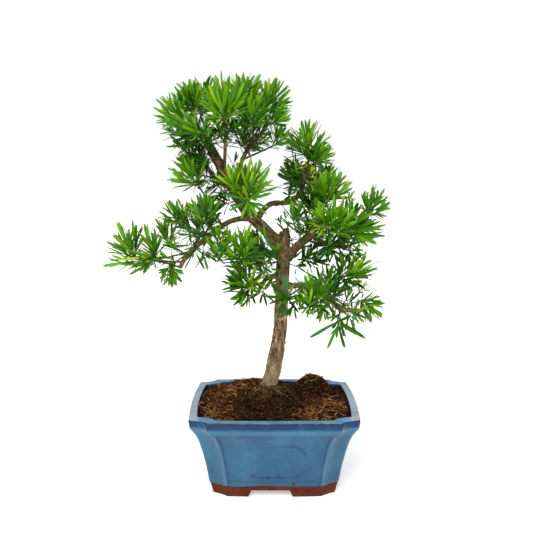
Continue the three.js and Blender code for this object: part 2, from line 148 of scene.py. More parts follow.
def addSun(name):
    direction, strength, softness = lights[name]
    data = bpy.data.lights.new(name, "SUN")
    data.energy = strength
    data.angle = math.radians(softness)
    light = linked(name, data)
    light.rotation_euler = Vector(direction).to_track_quat("-Z", "Y").to_euler()
    light.location = (0, 0, 1.5)


# A white studio: the backdrop is seen at full white and lights the tree a little less.
def addSky():
    world = bpy.data.worlds.new("studio")
    world.use_nodes = True
    tree = world.node_tree
    seen = tree.nodes["Background"]
    seen.inputs["Color"].default_value = (1, 1, 1, 1)
    seen.inputs["Strength"].default_value = lights["backdropStrength"]
    soft = tree.nodes.new("ShaderNodeBackground")
    soft.inputs["Color"].default_value = (1, 1, 1, 1)
    soft.inputs["Strength"].default_value = lights["skyStrength"]
    rays = tree.nodes.new("ShaderNodeLightPath")
    mix = tree.nodes.new("ShaderNodeMixShader")
    tree.links.new(rays.outputs["Is Camera Ray"], mix.inputs["Fac"])
    tree.links.new(soft.outputs["Background"], mix.inputs[1])
    tree.links.new(seen.outputs["Background"], mix.inputs[2])
    tree.links.new(mix.outputs["Shader"], tree.nodes["World Output"].inputs["Surface"])
    bpy.context.scene.world = world


def addFloor():
    material = bpy.data.materials.new("backdrop")
    material.use_nodes = True
    shader = material.node_tree.nodes["Principled BSDF"]
    shader.inputs["Base Color"].default_value = (*view["backdropColour"], 1)
    shader.inputs["Roughness"].default_value = 0.9
    shader.inputs["Specular IOR Level"].default_value = 0.0
    shader.inputs["Emission Color"].default_value = (1, 1, 1, 1)
    shader.inputs["Emission Strength"].default_value = lights["floorGlow"]
    bm = bmesh.new()
    bmesh.ops.create_grid(bm, x_segments=2, y_segments=2, size=view["floorSize"])
    mesh = bpy.data.meshes.new("floor")
    bm.to_mesh(mesh)
    bm.free()
    mesh.materials.append(material)
    floor = linked("floor", mesh)


addCamera()
addSun("key")
addSun("fill")
addSky()
addFloor()
bpy.context.scene.view_settings.view_transform = "Standard"
print("stage: camera, lights and floor")


# Materials: each mixes plain colours through masks
def addNode(tree, kind, **settings):
    node = tree.nodes.new(kind)
    for key, value in settings.items():
        setattr(node, key, value)
    return node


def rangeNode(tree, value, low, high):
    node = addNode(tree, "ShaderNodeMapRange", interpolation_type="SMOOTHSTEP")
    tree.links.new(value, node.inputs["Value"])
    for socket, edge in (("From Min", low), ("From Max", high)):
        if isinstance(edge, (int, float)):
            node.inputs[socket].default_value = edge
        else:
            tree.links.new(edge, node.inputs[socket])
    return node.outputs["Result"]


# Noise in the piece's own coordinates, turned into a mask between two levels.
def buildPatches():
    tree = bpy.data.node_groups.new("patches", "ShaderNodeTree")
    tree.interface.new_socket("Coordinates", in_out="INPUT", socket_type="NodeSocketVector")
    for label, value in (("Scale", 50.0), ("Detail", 4.0), ("Low", 0.4), ("High", 0.6)):
        tree.interface.new_socket(label, in_out="INPUT", socket_type="NodeSocketFloat").default_value = value
    tree.interface.new_socket("Mask", in_out="OUTPUT", socket_type="NodeSocketFloat")
    given, made = addNode(tree, "NodeGroupInput"), addNode(tree, "NodeGroupOutput")
    texture = addNode(tree, "ShaderNodeTexNoise")
    for label, socket in (("Coordinates", "Vector"), ("Scale", "Scale"), ("Detail", "Detail")):
        tree.links.new(given.outputs[label], texture.inputs[socket])
    mask = rangeNode(tree, texture.outputs["Fac"], given.outputs["Low"], given.outputs["High"])
    tree.links.new(mask, made.inputs["Mask"])
    return tree


patches = buildPatches()


# One material's nodes, with the moves that every finish below uses.
class Finish:
    def __init__(self, name, roughness, specular, coat=0.0, coatRoughness=0.1):
        self.material = bpy.data.materials.new(name)
        self.material.use_nodes = True
        self.tree = self.material.node_tree
        self.shader = self.tree.nodes["Principled BSDF"]
        self.shader.inputs["Roughness"].default_value = roughness
        self.shader.inputs["Specular IOR Level"].default_value = specular
        self.shader.inputs["Coat Weight"].default_value = coat
        self.shader.inputs["Coat Roughness"].default_value = coatRoughness

    def link(self, output, socket):
        self.tree.links.new(output, socket)

    def stretched(self, vector, along):
        mapping = addNode(self.tree, "ShaderNodeMapping")
        mapping.inputs["Scale"].default_value = (1, 1, along)
        self.link(vector, mapping.inputs["Vector"])
        return mapping.outputs["Vector"]

    def objectPlace(self, along=1):
        return self.stretched(addNode(self.tree, "ShaderNodeTexCoord").outputs["Object"], along)

    def heightOf(self, place):
        parts = addNode(self.tree, "ShaderNodeSeparateXYZ")
        self.link(place, parts.inputs["Vector"])
        return parts.outputs["Z"]

    def attribute(self, name, output="Fac"):
        return addNode(self.tree, "ShaderNodeAttribute", attribute_name=name).outputs[output]

    def patch(self, place, scale, low, high, detail=4.0):
        node = addNode(self.tree, "ShaderNodeGroup", node_tree=patches)
        self.link(place, node.inputs["Coordinates"])
        for socket, value in (("Scale", scale), ("Detail", detail), ("Low", low), ("High", high)):
            node.inputs[socket].default_value = value
        return node.outputs["Mask"]

    def within(self, value, low, high):
        return rangeNode(self.tree, value, low, high)

    def combine(self, operation, first, second):
        node = addNode(self.tree, "ShaderNodeMath", operation=operation, use_clamp=True)
        for socket, value in zip(node.inputs, (first, second)):
            if isinstance(value, (int, float)):
                socket.default_value = value
            else:
                self.link(value, socket)
        return node.outputs[0]

    def times(self, first, second):
        return self.combine("MULTIPLY", first, second)

    def blend(self, mask, first, second):
        node = addNode(self.tree, "ShaderNodeMix", data_type="RGBA")
        self.link(mask, node.inputs["Factor"])
        for socket, value in ((node.inputs[6], first), (node.inputs[7], second)):
            if isinstance(value, tuple):
                socket.default_value = srgb(*value)
            else:
                self.link(value, socket)
        return node.outputs[2]

    # The base colour so far, with another laid over it where the mask says
    def tint(self, mask, colour, share=None):
        mask = mask if share is None else self.times(mask, share)
        self.base = self.blend(mask, self.base, colour)

    def useBase(self):
        self.link(self.base, self.shader.inputs["Base Color"])

    def relief(self, height, distance, strength=1.0):
        node = addNode(self.tree, "ShaderNodeBump")
        node.inputs["Distance"].default_value = distance
        node.inputs["Strength"].default_value = strength
        self.link(height, node.inputs["Height"])
        self.link(node.outputs["Normal"], self.shader.inputs["Normal"])


def srgb(red, green, blue):  # screen values 0 to 255 to the renderer's own
    def linear(value):
        value /= 255
        return value / 12.92 if value <= 0.04045 else ((value + 0.055) / 1.055) ** 2.4
    return (linear(red), linear(green), linear(blue), 1)


# Pieces
def finishPiece(name, mesh, materials, replaced=(), sharpAngle=None):
    for material in materials:
        mesh.materials.append(material)
    if sharpAngle is not None:
        mesh.polygons.foreach_set("use_smooth", np.ones(len(mesh.polygons), bool))
        mesh.set_sharp_from_angle(angle=math.radians(sharpAngle))
    piece = linked(name, mesh)
    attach(piece, "root")
    if replaced:
        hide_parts(*replaced)
    return piece


def meshFromBmesh(name, bm):
    bmesh.ops.recalc_face_normals(bm, faces=bm.faces)
    for vert in bm.verts:
        vert.co = Vector(toRow(vert.co))
    mesh = bpy.data.meshes.new(name)
    bm.to_mesh(mesh)
    bm.free()
    return mesh


def startRing(bm, places):
    ring = [bm.verts.new(place) for place in places]
    return ring, [bm.edges.new(pair) for pair in zip(ring, ring[1:] + ring[:1])]


# Extrudes the open ring of edges once and sets the new ring's points.
def growRing(bm, ring, edges, places):
    made = bmesh.ops.extrude_edge_only(bm, edges=edges)["geom"]
    fresh = {item for item in made if isinstance(item, bmesh.types.BMVert)}
    following = []
    for vert, place in zip(ring, places):
        above = next(edge.other_vert(vert) for edge in vert.link_edges if edge.other_vert(vert) in fresh)
        above.co = place
        following.append(above)
    return following, [bm.edges.get(pair) for pair in zip(following, following[1:] + following[:1])]


# A closed skin over rows of points; the first and the last ring are filled.
def skinRows(bm, rows):
    ring, edges = startRing(bm, rows[0])
    bmesh.ops.contextual_create(bm, geom=edges)
    for places in rows[1:]:
        ring, edges = growRing(bm, ring, edges, places)
    bmesh.ops.contextual_create(bm, geom=edges)


# Many small things as one mesh: every copy has the same faces, and a tone for all or for each.
def meshFromCopies(name, points, faces, tones):
    copies, perCopy = points.shape[:2]
    corners = (np.concatenate(faces)[None, :] + np.arange(copies)[:, None] * perCopy).ravel()
    sizes = np.tile([len(face) for face in faces], copies)
    starts = np.concatenate([[0], np.cumsum(sizes)[:-1]])
    tones = np.broadcast_to(tones, (copies, len(faces))).ravel()
    mesh = bpy.data.meshes.new(name)
    mesh.vertices.add(copies * perCopy)
    mesh.vertices.foreach_set("co", toRow(points.reshape(-1, 3)).ravel())
    mesh.loops.add(len(corners))
    mesh.loops.foreach_set("vertex_index", corners.astype(np.int32))
    mesh.polygons.add(len(sizes))
    for setting, values in (("loop_start", starts), ("loop_total", sizes), ("material_index", tones)):
        mesh.polygons.foreach_set(setting, values.astype(np.int32))
    mesh.update(calc_edges=True)
    mesh.validate()
    return mesh


# Pot
pot = {
    "cornerLow": 17,
    "cornerHigh": 21,
    "cornerY": 9.5,
    "bowLong": 1.5,
    "bowShort": 3.5,
    "bareTop": 17,
    "rowStep": 1.3,
    "columnStep": 1.5,
    "longRun": 80,  # half the run of each side that its columns are shared out over
    "shortRun": 65,
    "cornerColumns": 14,
    "softness": 1.3,
    "wave": 0.15,
    "edgeWave": 1.3,
    "panelDepth": 1.3,
    "panelTop": 83,
    "panelFoot": 19,
    "panelInset": 6,
    "panelBlend": 0.9,
    "ribHeight": 0.8,
    "ribWidth": 1.7,
    "ribOut": 3.2,
    "grooveDepth": 0.7,
    "grooveWidth": 1.0,
    "grooveShoulder": 0.15,
    "flap": 1.6,
}

# Height, half length, half width and how hollow the corner notch is, from foot to rim.
potProfile = [
    (0, 74.5, 57.5, 0.2),
    (17, 78.3, 60.5, 0.3),
    (35, 81, 61.8, 0.4),
    (55, 85.3, 64, 0.5),
    (70, 89.3, 66.5, 0.65),
    (80, 93.2, 70, 0.8),
    (87, 98, 73.5, 0.9),
    (90, 99.8, 74.5, 0.9),
    (99, 101, 75.5, 0.9),
    (101, 99.8, 74.3, 0.9),
]

# The incised frame on the front and back: half of it, from the middle of its top to its bottom.
cartouche = [(0, 68), (12, 68.2), (22, 68), (29, 66), (34, 62.5), (35.5, 57), (40, 53.5), (45, 48),
             (46, 42), (44, 37), (38, 36), (33, 33), (28, 28), (20, 26.5), (10, 26.2), (0, 26.2)]


def potLevel(height):
    rows = np.array(potProfile)
    return [np.interp(height, rows[:, 0], rows[:, column]) for column in (1, 2, 3)]


# A smooth profile: each level is averaged with those just above and below it.
def softPotLevel(height):
    spread = 2.2 if height < 88 else 0.8
    levels = [potLevel(min(max(height + offset * spread, 0), 101)) for offset in (-1, -0.5, 0, 0.5, 1)]
    return np.average(levels, axis=0, weights=(1, 2, 3, 2, 1))


# One level of the pot: four bowed sides and four notched corners, run anticlockwise.
def potLoop(height, inset=0.0):
    halfLength, halfWidth, hollow = softPotLevel(height)
    halfLength, halfWidth = halfLength - inset, halfWidth - inset
    cornerX = np.interp(height, (17, 87), (pot["cornerLow"], pot["cornerHigh"]))
    innerX, innerY = halfLength - cornerX, halfWidth - pot["cornerY"]
    longColumns = round(2 * pot["longRun"] / pot["columnStep"])
    shortColumns = round(2 * pot["shortRun"] / pot["columnStep"])
    points = []
    for index, (signX, signY) in enumerate(((1, 1), (-1, 1), (-1, -1), (1, -1))):
        sideEnd = np.array([halfLength * signX, innerY * signY])
        frontEnd = np.array([innerX * signX, halfWidth * signY])
        bend = np.array([innerX * signX, innerY * signY])
        bend = bend + ((sideEnd + frontEnd) / 2 - bend) * (1 - hollow)
        if index % 2:
            sideEnd, frontEnd = frontEnd, sideEnd
        for step in range(pot["cornerColumns"]):
            t = step / pot["cornerColumns"]
            points.append(sideEnd * (1 - t) ** 2 + bend * 2 * t * (1 - t) + frontEnd * t * t)
        columns = shortColumns if index % 2 else longColumns
        sign = 1 if index < 2 else -1
        for step in range(columns):
            t = 1 - 2 * step / columns
            bow = 1 - t * t
            if index % 2:
                points.append(np.array([-(halfLength + pot["bowShort"] * bow) * sign, innerY * t * sign]))
            else:
                points.append(np.array([innerX * t * sign, (halfWidth + pot["bowLong"] * bow) * sign]))
    loop = np.array(points)
    own = pot["softness"] * 2
    for _ in range(2):  # glaze rounds the ridges beside each notch
        loop = (np.roll(loop, 1, 0) + loop * own + np.roll(loop, -1, 0)) / (2 + own)
    return loop, innerX, innerY


def distanceToLine(points, line):
    nearest = np.full(len(points), 1e9)
    for start, end in zip(line[:-1], line[1:]):
        run = end - start
        share = np.clip(((points - start) @ run) / (run @ run), 0, 1)
        nearest = np.minimum(nearest, np.linalg.norm(points - start - share[:, None] * run, axis=1))
    return nearest


def smoothLine(points, steps=6):  # Catmull-Rom through given points
    points = np.array(points, float)
    padded = np.vstack([2 * points[0] - points[1], points, 2 * points[-1] - points[-2]])
    line = []
    for a, b, c, d in zip(padded[:-3], padded[1:-2], padded[2:-1], padded[3:]):
        for step in range(steps):
            t = step / steps
            line.append(0.5 * (2 * b + (c - a) * t + (2 * a - 5 * b + 4 * c - d) * t * t
                               + (3 * b - a - 3 * c + d) * t ** 3))
    line.append(points[-1])
    return np.array(line)


# How far the panels and the incised frame sink the wall, and the ribs raise it, at each point,
# and where a step or groove is darkened by pooled glaze and painted shade, and a rib lightened by thin glaze
# and a painted highlight.
def wallRelief(loop, height, innerX, innerY):
    sink, poolAndShade, thinAndHighlight = np.zeros(len(loop)), np.zeros(len(loop)), np.zeros(len(loop))
    top = smoothStep(pot["panelTop"] + pot["panelBlend"], pot["panelTop"] - pot["panelBlend"], height)
    foot = smoothStep(pot["panelFoot"], pot["panelFoot"] + 4, height)
    onLong = np.abs(loop[:, 1]) > innerY + 2
    onShort = np.abs(loop[:, 0]) > innerX + 5
    inset, blend = pot["panelInset"], pot["panelBlend"]
    for mask, across, inner in ((onLong, loop[:, 0], innerX), (onShort & ~onLong, loop[:, 1], innerY)):
        fromEdge = inner - np.abs(across)
        fromPanel = fromEdge - inset
        inside = smoothStep(inset - blend, inset + blend, fromEdge)
        rib = hump(fromPanel + pot["ribOut"], pot["ribWidth"]) * top
        sink += mask * (inside * top * foot * pot["panelDepth"] - rib * pot["ribHeight"])
        # Darkest along the panel's edge step and just under its top ledge: pooled glaze, and painted shade in
        # the recess
        step = hump(fromPanel - 0.4, 1.1) * top
        ledge = hump(height - pot["panelTop"] + 0.8, 1.0) * inside
        poolAndShade += mask * np.maximum(step, ledge * 0.6)
        thinAndHighlight += mask * rib
    half = smoothLine(cartouche)
    places = np.column_stack([np.abs(loop[:, 0]), np.full(len(loop), height)])
    away = distanceToLine(places, half)
    # Glaze has half filled the frame on its left above the foot, and at mid height
    filled = 1 - 0.8 * smoothStep(4, -8, loop[:, 0] * -np.sign(loop[:, 1])) * smoothStep(36, 42, height)
    filled *= 1 - 0.75 * smoothStep(60, 54, height) * smoothStep(34, 40, height)
    groove = hump(away, pot["grooveWidth"]) * onLong * filled
    shoulder = hump(away - 2.2, 0.9) * onLong * filled
    sink += groove * pot["grooveDepth"] - shoulder * pot["grooveShoulder"]
    return sink, poolAndShade + groove * 0.8, thinAndHighlight


# Rows run up the outside, over the rim and down inside: each one's height, and how far it is set in.
def makePotBody():
    rows = [(pot["bareTop"] - pot["flap"], 0.35), (pot["bareTop"] - pot["flap"] + 0.3, 0.0)]
    rows += [(height, 0.0) for height in np.arange(pot["bareTop"], 97, pot["rowStep"])]
    rows += [(height, 0.0) for height in (97.6, 98.3, 99, 99.6, 100.1, 100.5, 100.8, 101)]
    rows += [(101, inset) for inset in (0.5, 1.2, 2.2, 3.5, 5, 6.5, 7.6)]
    rows += [(100.8, 8.4), (100.3, 9.0), (99.4, 9.5), (98, 9.9), (96, 10)]
    rows += [(height, 10.0 - (98 - height) * 0.03) for height in np.arange(93, 28, -4)]
    bm = bmesh.new()
    poolLayer = bm.verts.layers.float.new("poolAndShade")
    thinLayer = bm.verts.layers.float.new("thinAndHighlight")
    ring = None
    for height, inset in rows:
        loop, innerX, innerY = potLoop(height, inset)
        sink, poolAndShade, thinAndHighlight = np.zeros((3, len(loop)))
        if inset == 0:
            sink, poolAndShade, thinAndHighlight = wallRelief(loop, height, innerX, innerY)
            outward = loop - np.roll(loop, 1, 0)
            outward = np.column_stack([outward[:, 1], -outward[:, 0]])
            outward += np.roll(outward, -1, 0)
            outward /= np.linalg.norm(outward, axis=1)[:, None]
            loop = loop - outward * sink[:, None]
        places = [(*point, height) for point in loop]
        if ring is None:
            ring, edges = startRing(bm, places)
            firstEdges = edges
        else:
            ring, edges = growRing(bm, ring, edges, places)
        for vert, pooled, thinned in zip(ring, poolAndShade, thinAndHighlight):
            vert[poolLayer], vert[thinLayer] = pooled, thinned
    bmesh.ops.contextual_create(bm, geom=edges)
    bmesh.ops.contextual_create(bm, geom=firstEdges)
    wavePot(bm)
    return meshFromBmesh("potGlazed", bm)


# Hand-made walls are never quite true: a low wave over the whole pot, and a wavy lower edge.
def wavePot(bm):
    for vert in bm.verts:
        side = Vector((vert.co.x, vert.co.y, 0)).normalized()
        lowEdge = float(smoothStep(pot["bareTop"] + 2, pot["bareTop"] - 1, vert.co.z))
        vert.co.z += lowEdge * noise.noise(Vector((vert.co.x * 0.035, vert.co.y * 0.05, 4))) * pot["edgeWave"]
        vert.co += side * (layeredNoise(vert.co, 0.02) - 1) * pot["wave"]
        if vert.co.z > 80:
            vert.co.z += min(layeredNoise(vert.co + Vector((90, 0, 0)), 0.03) * 0.3 - 0.15, 0)


def glazeFinish():
    finish = Finish("blueGlaze", 0.24, specular=0.22, coat=0.1, coatRoughness=0.12)
    place = finish.objectPlace()
    up = finish.heightOf(place)
    swept = finish.patch(finish.objectPlace(0.3), 45, 0.35, 0.7)
    finish.base = finish.blend(swept, (43, 92, 120), (53, 107, 135))
    finish.tint(finish.patch(place, 18, 0.42, 0.68), (38, 83, 114))
    finish.tint(finish.within(up, 0.045, 0.016), (33, 74, 108), 0.55)
    mottle = finish.times(finish.patch(place, 380, 0.5, 0.7, 2), 0.16)
    finish.tint(mottle, (86, 134, 158))
    shoulder = finish.times(finish.within(up, 0.084, 0.087), finish.within(up, 0.0935, 0.0905))
    finish.tint(shoulder, (72, 126, 152), 0.45)
    # The lip's outer face is painted deep blue: painted shade under the rim's edge
    lipShade = finish.times(finish.within(up, 0.0896, 0.0946), finish.within(up, 0.1004, 0.0992))
    finish.tint(lipShade, (0, 54, 98), finish.within(finish.patch(place, 90, 0.25, 0.6), -0.9, 0.9))
    # The rim's upward face is painted paler than the walls, and palest at the two short ends: painted light
    # and reflection
    rimTop = finish.within(up, 0.0998, 0.1006)
    rimLitColour = finish.blend(finish.patch(place, 60, 0.35, 0.65), (98, 154, 188), (74, 132, 172))
    finish.tint(rimTop, finish.blend(finish.attribute("rimSide"), rimLitColour, (168, 192, 208)))
    # Ribs painted paler: glaze run thin over them, and a painted highlight
    finish.tint(finish.attribute("thinAndHighlight"), (104, 150, 172), 0.34)
    # Steps and grooves painted dark blue: glaze pooled there, and painted shade
    uneven = finish.within(finish.patch(place, 70, 0.2, 0.7, 3), -0.5, 0.9)
    finish.tint(finish.times(finish.attribute("poolAndShade"), uneven), (22, 40, 84), 0.62)
    finish.tint(finish.attribute("edgeBreak"), (48, 28, 30), finish.patch(place, 150, 0.3, 0.48, 3))
    finish.tint(finish.attribute("pit"), (34, 38, 24))
    finish.useBase()
    finish.link(finish.combine("ADD", finish.times(mottle, 0.5), 0.19), finish.shader.inputs["Roughness"])
    finish.relief(finish.patch(place, 200, 0.2, 0.8, 3), 0.00025, 0.35)
    return finish.material


# Pinholes low on the front: across, up and size
glazePits = [(-25, 29, 1.9), (-8, 26.5, 1.7), (5, 29, 1.8), (23, 18.8, 1.8), (37, 58, 1.3)]


# The glaze runs thin over the rim's outer edge and the sharp lip corners.
def markGlazeBreaks(mesh):
    places = pointsOf(mesh) / mm - potMiddle
    halfLength, halfWidth, _ = potLevel(99)
    cornerX = halfLength - pot["cornerHigh"]
    cornerY = halfWidth - pot["cornerY"]
    x, y, z = np.abs(places[:, 0]), np.abs(places[:, 1]), places[:, 2]
    outer = (np.maximum(x - halfLength + 12, y - halfWidth + 4) > 0)
    tips = [(halfLength, cornerY), (cornerX, halfWidth)]
    tipNear = sum(np.exp(-(((x - tipX) ** 2 + (y - tipY) ** 2) / 4.5)) for tipX, tipY in tips)
    wear = hump(z - 99.9, 0.8) * outer + 0.7 * tipNear * smoothStep(86, 93, z)
    pits = sum(hump(np.hypot(places[:, 0] - pitX, z - pitZ), size) for pitX, pitZ, size in glazePits)
    # rimSide marks the rim's two short ends for a painted highlight
    markPoints(mesh, edgeBreak=np.clip(wear, 0, 1), rimSide=smoothStep(halfLength - 13, halfLength - 10, x),
               pit=np.clip(pits, 0, 1) * (places[:, 1] < -50))


def buildPot():
    mesh = makePotBody()
    markGlazeBreaks(mesh)
    finishPiece("potGlazed", mesh, [glazeFinish()], ["pot_body"], sharpAngle=50)


buildPot()
print("pot: glazed body")


# The bare clay under the glaze: a band on four feet, with an arch on each side
foot = {
    "top": 16.8,
    "inset": 0.3,
    "footHeight": 9.5,
    "archCentreX": -4.5,
    "archHalfX": 27,
    "archHalfY": 27,
    "archSlant": 4,
    "edge": 0.7,
}


# An upside-down trough that runs through the foot from side to side or from front to back
def archCutter(name, halfWidth, centre, alongX):
    bm = bmesh.new()
    slant = foot["archSlant"]
    outline = [(-halfWidth, -5), (halfWidth, -5), (halfWidth, 0), (halfWidth - slant, foot["footHeight"]),
               (slant - halfWidth, foot["footHeight"]), (-halfWidth, 0)]
    face = bm.faces.new([bm.verts.new((x, -150, z)) for x, z in outline])
    grown = bmesh.ops.extrude_face_region(bm, geom=[face])["geom"]
    farEnd = [item for item in grown if isinstance(item, bmesh.types.BMVert)]
    bmesh.ops.translate(bm, verts=farEnd, vec=(0, 300, 0))
    bmesh.ops.translate(bm, verts=bm.verts, vec=(centre, 0, 0))
    if alongX:
        bmesh.ops.rotate(bm, verts=bm.verts, cent=(0, 0, 0), matrix=Matrix.Rotation(math.pi / 2, 3, "Z"))
    return linked(name, meshFromBmesh(name, bm))


def applyModifiers(piece):
    shaped = piece.evaluated_get(bpy.context.evaluated_depsgraph_get())
    shapedMesh = bpy.data.meshes.new_from_object(shaped)
    piece.modifiers.clear()
    piece.data = shapedMesh


def clayFinish():
    finish = Finish("bareClay", 0.82, specular=0.1)
    place = finish.objectPlace()
    finish.base = finish.blend(finish.patch(place, 45, 0.35, 0.7), (93, 43, 26), (76, 33, 19))
    finish.tint(finish.patch(place, 900, 0.55, 0.7, 2), (126, 68, 48))
    finish.tint(finish.patch(place, 130, 0.62, 0.72), (62, 28, 20))
    finish.useBase()
    finish.relief(finish.patch(place, 1400, 0.3, 0.7, 3), 0.0003, 0.5)
    return finish.material


def buildFoot():
    rows = []
    for height in [0, 0.5, 1.2, *np.linspace(3, foot["top"], 7)]:
        rounded = foot["edge"] * max(0, 1 - height / 1.2)
        loop, _, _ = potLoop(height, foot["inset"] + rounded)
        rows.append([(*point, height) for point in loop])
    bm = bmesh.new()
    skinRows(bm, rows)
    band = linked("potFoot", meshFromBmesh("potFoot", bm))
    for name, halfWidth, centre, alongX in (("cutLong", foot["archHalfX"], foot["archCentreX"], False),
                                            ("cutShort", foot["archHalfY"], 0, True)):
        cutter = archCutter(name, halfWidth, centre, alongX)
        cut = band.modifiers.new("cut", "BOOLEAN")
        cut.object = cutter
        cut.solver = "EXACT"
        applyModifiers(band)
        bpy.data.objects.remove(cutter)
    rounding = band.modifiers.new("edges", "BEVEL")
    rounding.width = foot["edge"] * mm
    rounding.segments = 2
    rounding.angle_limit = math.radians(35)
    applyModifiers(band)
    mesh = band.data
    bpy.data.objects.remove(band)
    mesh.materials.clear()
    finishPiece("potFootClay", mesh, [clayFinish()], ["pot_base"], sharpAngle=40)


buildFoot()
print("pot: clay foot")


# Soil
soil = {
    "edge": 96.5,
    "domeHeight": 9,
    "domeCentre": (-6, 36),
    "domeSpread": (46, 34),
    "clumpHeight": 16.4,
    "clumpCentre": (54, 46),
    "clumpSpread": (22, 15),
    "heaps": [(-36, 54, 24, 7, 6.5), (-12, 50, 14, 8, 3.5), (69, -18, 13, 16, 4.2), (-72, 20, 10, 22, 2.0),
              (-60, -40, 16, 14, 1.5), (18, 30, 9, 9, 2.0), (-90, 6, 8, 44, 2.6), (90, 2, 8, 40, 2.6)],
    "lumps": ((0.07, 1.7), (0.2, 1.4), (0.55, 0.6)),
    "inset": 10.2,
    "rings": 58,
    "floor": 60,
    "seed": 61,
}
soilOutline = potLoop(soil["edge"], soil["inset"])[0][::2]


def bump(x, y, centre, spread):
    return math.exp(-0.5 * (((x - centre[0]) / spread[0]) ** 2 + ((y - centre[1]) / spread[1]) ** 2))


def lump(x, y, centre, spread):  # rounder on top and steeper at its sides than a bump
    away = ((x - centre[0]) / spread[0]) ** 2 + ((y - centre[1]) / spread[1]) ** 2
    return math.exp(-1.5 * away ** 3) * (1 - 0.15 * min(away, 1))


outlineAngles = np.arctan2(soilOutline[:, 1], soilOutline[:, 0])
outlineOrder = np.argsort(outlineAngles)


def shareOut(x, y):  # 0 in the middle of the pot, 1 at its wall
    reach = np.interp(math.atan2(y, x), outlineAngles[outlineOrder],
                      np.linalg.norm(soilOutline[outlineOrder], axis=1), period=2 * math.pi)
    return math.hypot(x, y) / reach


def soilTop(x, y):
    share = min(shareOut(x, y), 1)
    dome = soil["domeHeight"] * bump(x, y, soil["domeCentre"], soil["domeSpread"])
    height = soil["edge"] + dome * (1 - share ** 8)
    height += soil["clumpHeight"] * lump(x, y, soil["clumpCentre"], soil["clumpSpread"])
    for centreX, centreY, spreadX, spreadY, high in soil["heaps"]:
        height += high * bump(x, y, (centreX, centreY), (spreadX, spreadY))
    for scale, high in soil["lumps"]:
        height += noise.noise(Vector((x * scale, y * scale, 7.7))) * high
    return height


def earthFinish():
    finish = Finish("dampSoil", 0.95, specular=0.05)
    place = finish.objectPlace()
    finish.base = finish.blend(finish.patch(place, 90, 0.35, 0.65), (14, 7, 3), (42, 25, 11))
    finish.tint(finish.patch(place, 700, 0.5, 0.68, 3), (88, 56, 27))
    finish.tint(finish.patch(place, 1500, 0.6, 0.7, 2), (10, 6, 4))
    finish.useBase()
    finish.relief(finish.patch(place, 900, 0.25, 0.75, 5), 0.0012, 0.9)
    return finish.material


def plainFinish(name, colour, second, scale=300):
    finish = Finish(name, 0.85, specular=0.08)
    place = finish.objectPlace()
    finish.base = finish.blend(finish.patch(place, scale, 0.4, 0.62, 3), colour, second)
    finish.useBase()
    finish.relief(finish.patch(place, scale * 5, 0.3, 0.7, 2), 0.0002, 0.4)
    return finish.material


def buildSoil():
    rows = [[(*(point * share), height) for point in soilOutline]
            for share, height in ((0.93, soil["floor"]), (0.97, 80))]
    for share in 1 - np.linspace(0, 1, soil["rings"]) ** 0.9 * 0.985:
        rows.append([(x, y, soilTop(x, y)) for x, y in soilOutline * share])
    bm = bmesh.new()
    skinRows(bm, rows)
    finishPiece("soilBed", meshFromBmesh("soilBed", bm), [earthFinish()], ["soil"], sharpAngle=70)


# Thin curved strands as tubes of a few sides; rows are each strand's centre line
def strandPoints(lines, radii, sides):
    lines = np.asarray(lines, float)
    before = np.concatenate([lines[:, :1], lines[:, :-1]], axis=1)
    after = np.concatenate([lines[:, 1:], lines[:, -1:]], axis=1)
    run = after - before
    run /= np.linalg.norm(run, axis=2)[:, :, None]
    helper = np.where(np.abs(run[..., 2:]) > 0.9, [[[1.0, 0, 0]]], [[[0, 0, 1.0]]])
    across = np.cross(run, helper)
    across /= np.linalg.norm(across, axis=2)[:, :, None]
    other = np.cross(run, across)
    turns = np.arange(sides) / sides * 2 * math.pi
    ring = (across[:, :, None, :] * np.cos(turns)[None, None, :, None]
            + other[:, :, None, :] * np.sin(turns)[None, None, :, None])
    points = lines[:, :, None, :] + ring * radii[:, :, None, None]
    return points.reshape(len(lines), -1, 3)


def strandFaces(stations, sides):
    faces = []
    for station in range(stations - 1):
        for side in range(sides):
            a, b = station * sides + side, station * sides + (side + 1) % sides
            faces.append((a, b, b + sides, a + sides))
    faces.append(tuple(range(sides))[::-1])
    faces.append(tuple(range((stations - 1) * sides, stations * sides)))
    return faces


def strandPiece(name, lines, radii, sides, tones, materials):
    faces = strandFaces(len(lines[0]), sides)
    mesh = meshFromCopies(name, strandPoints(lines, radii, sides), faces, np.array(tones)[:, None])
    finishPiece(name, mesh, materials, sharpAngle=80)


def insideSoil(x, y, limit=0.985):
    return shareOut(x, y) < limit


# On a steep side a fibre turns to lie along it, not down it.
def alongSlope(x, y, heading):
    riseX = (soilTop(x + 1, y) - soilTop(x - 1, y)) / 2
    riseY = (soilTop(x, y + 1) - soilTop(x, y - 1)) / 2
    turn = (math.atan2(riseX, -riseY) - heading + math.pi / 2) % math.pi - math.pi / 2
    return heading + turn * min(max(math.hypot(riseX, riseY) - 0.35, 0) * 2, 1)


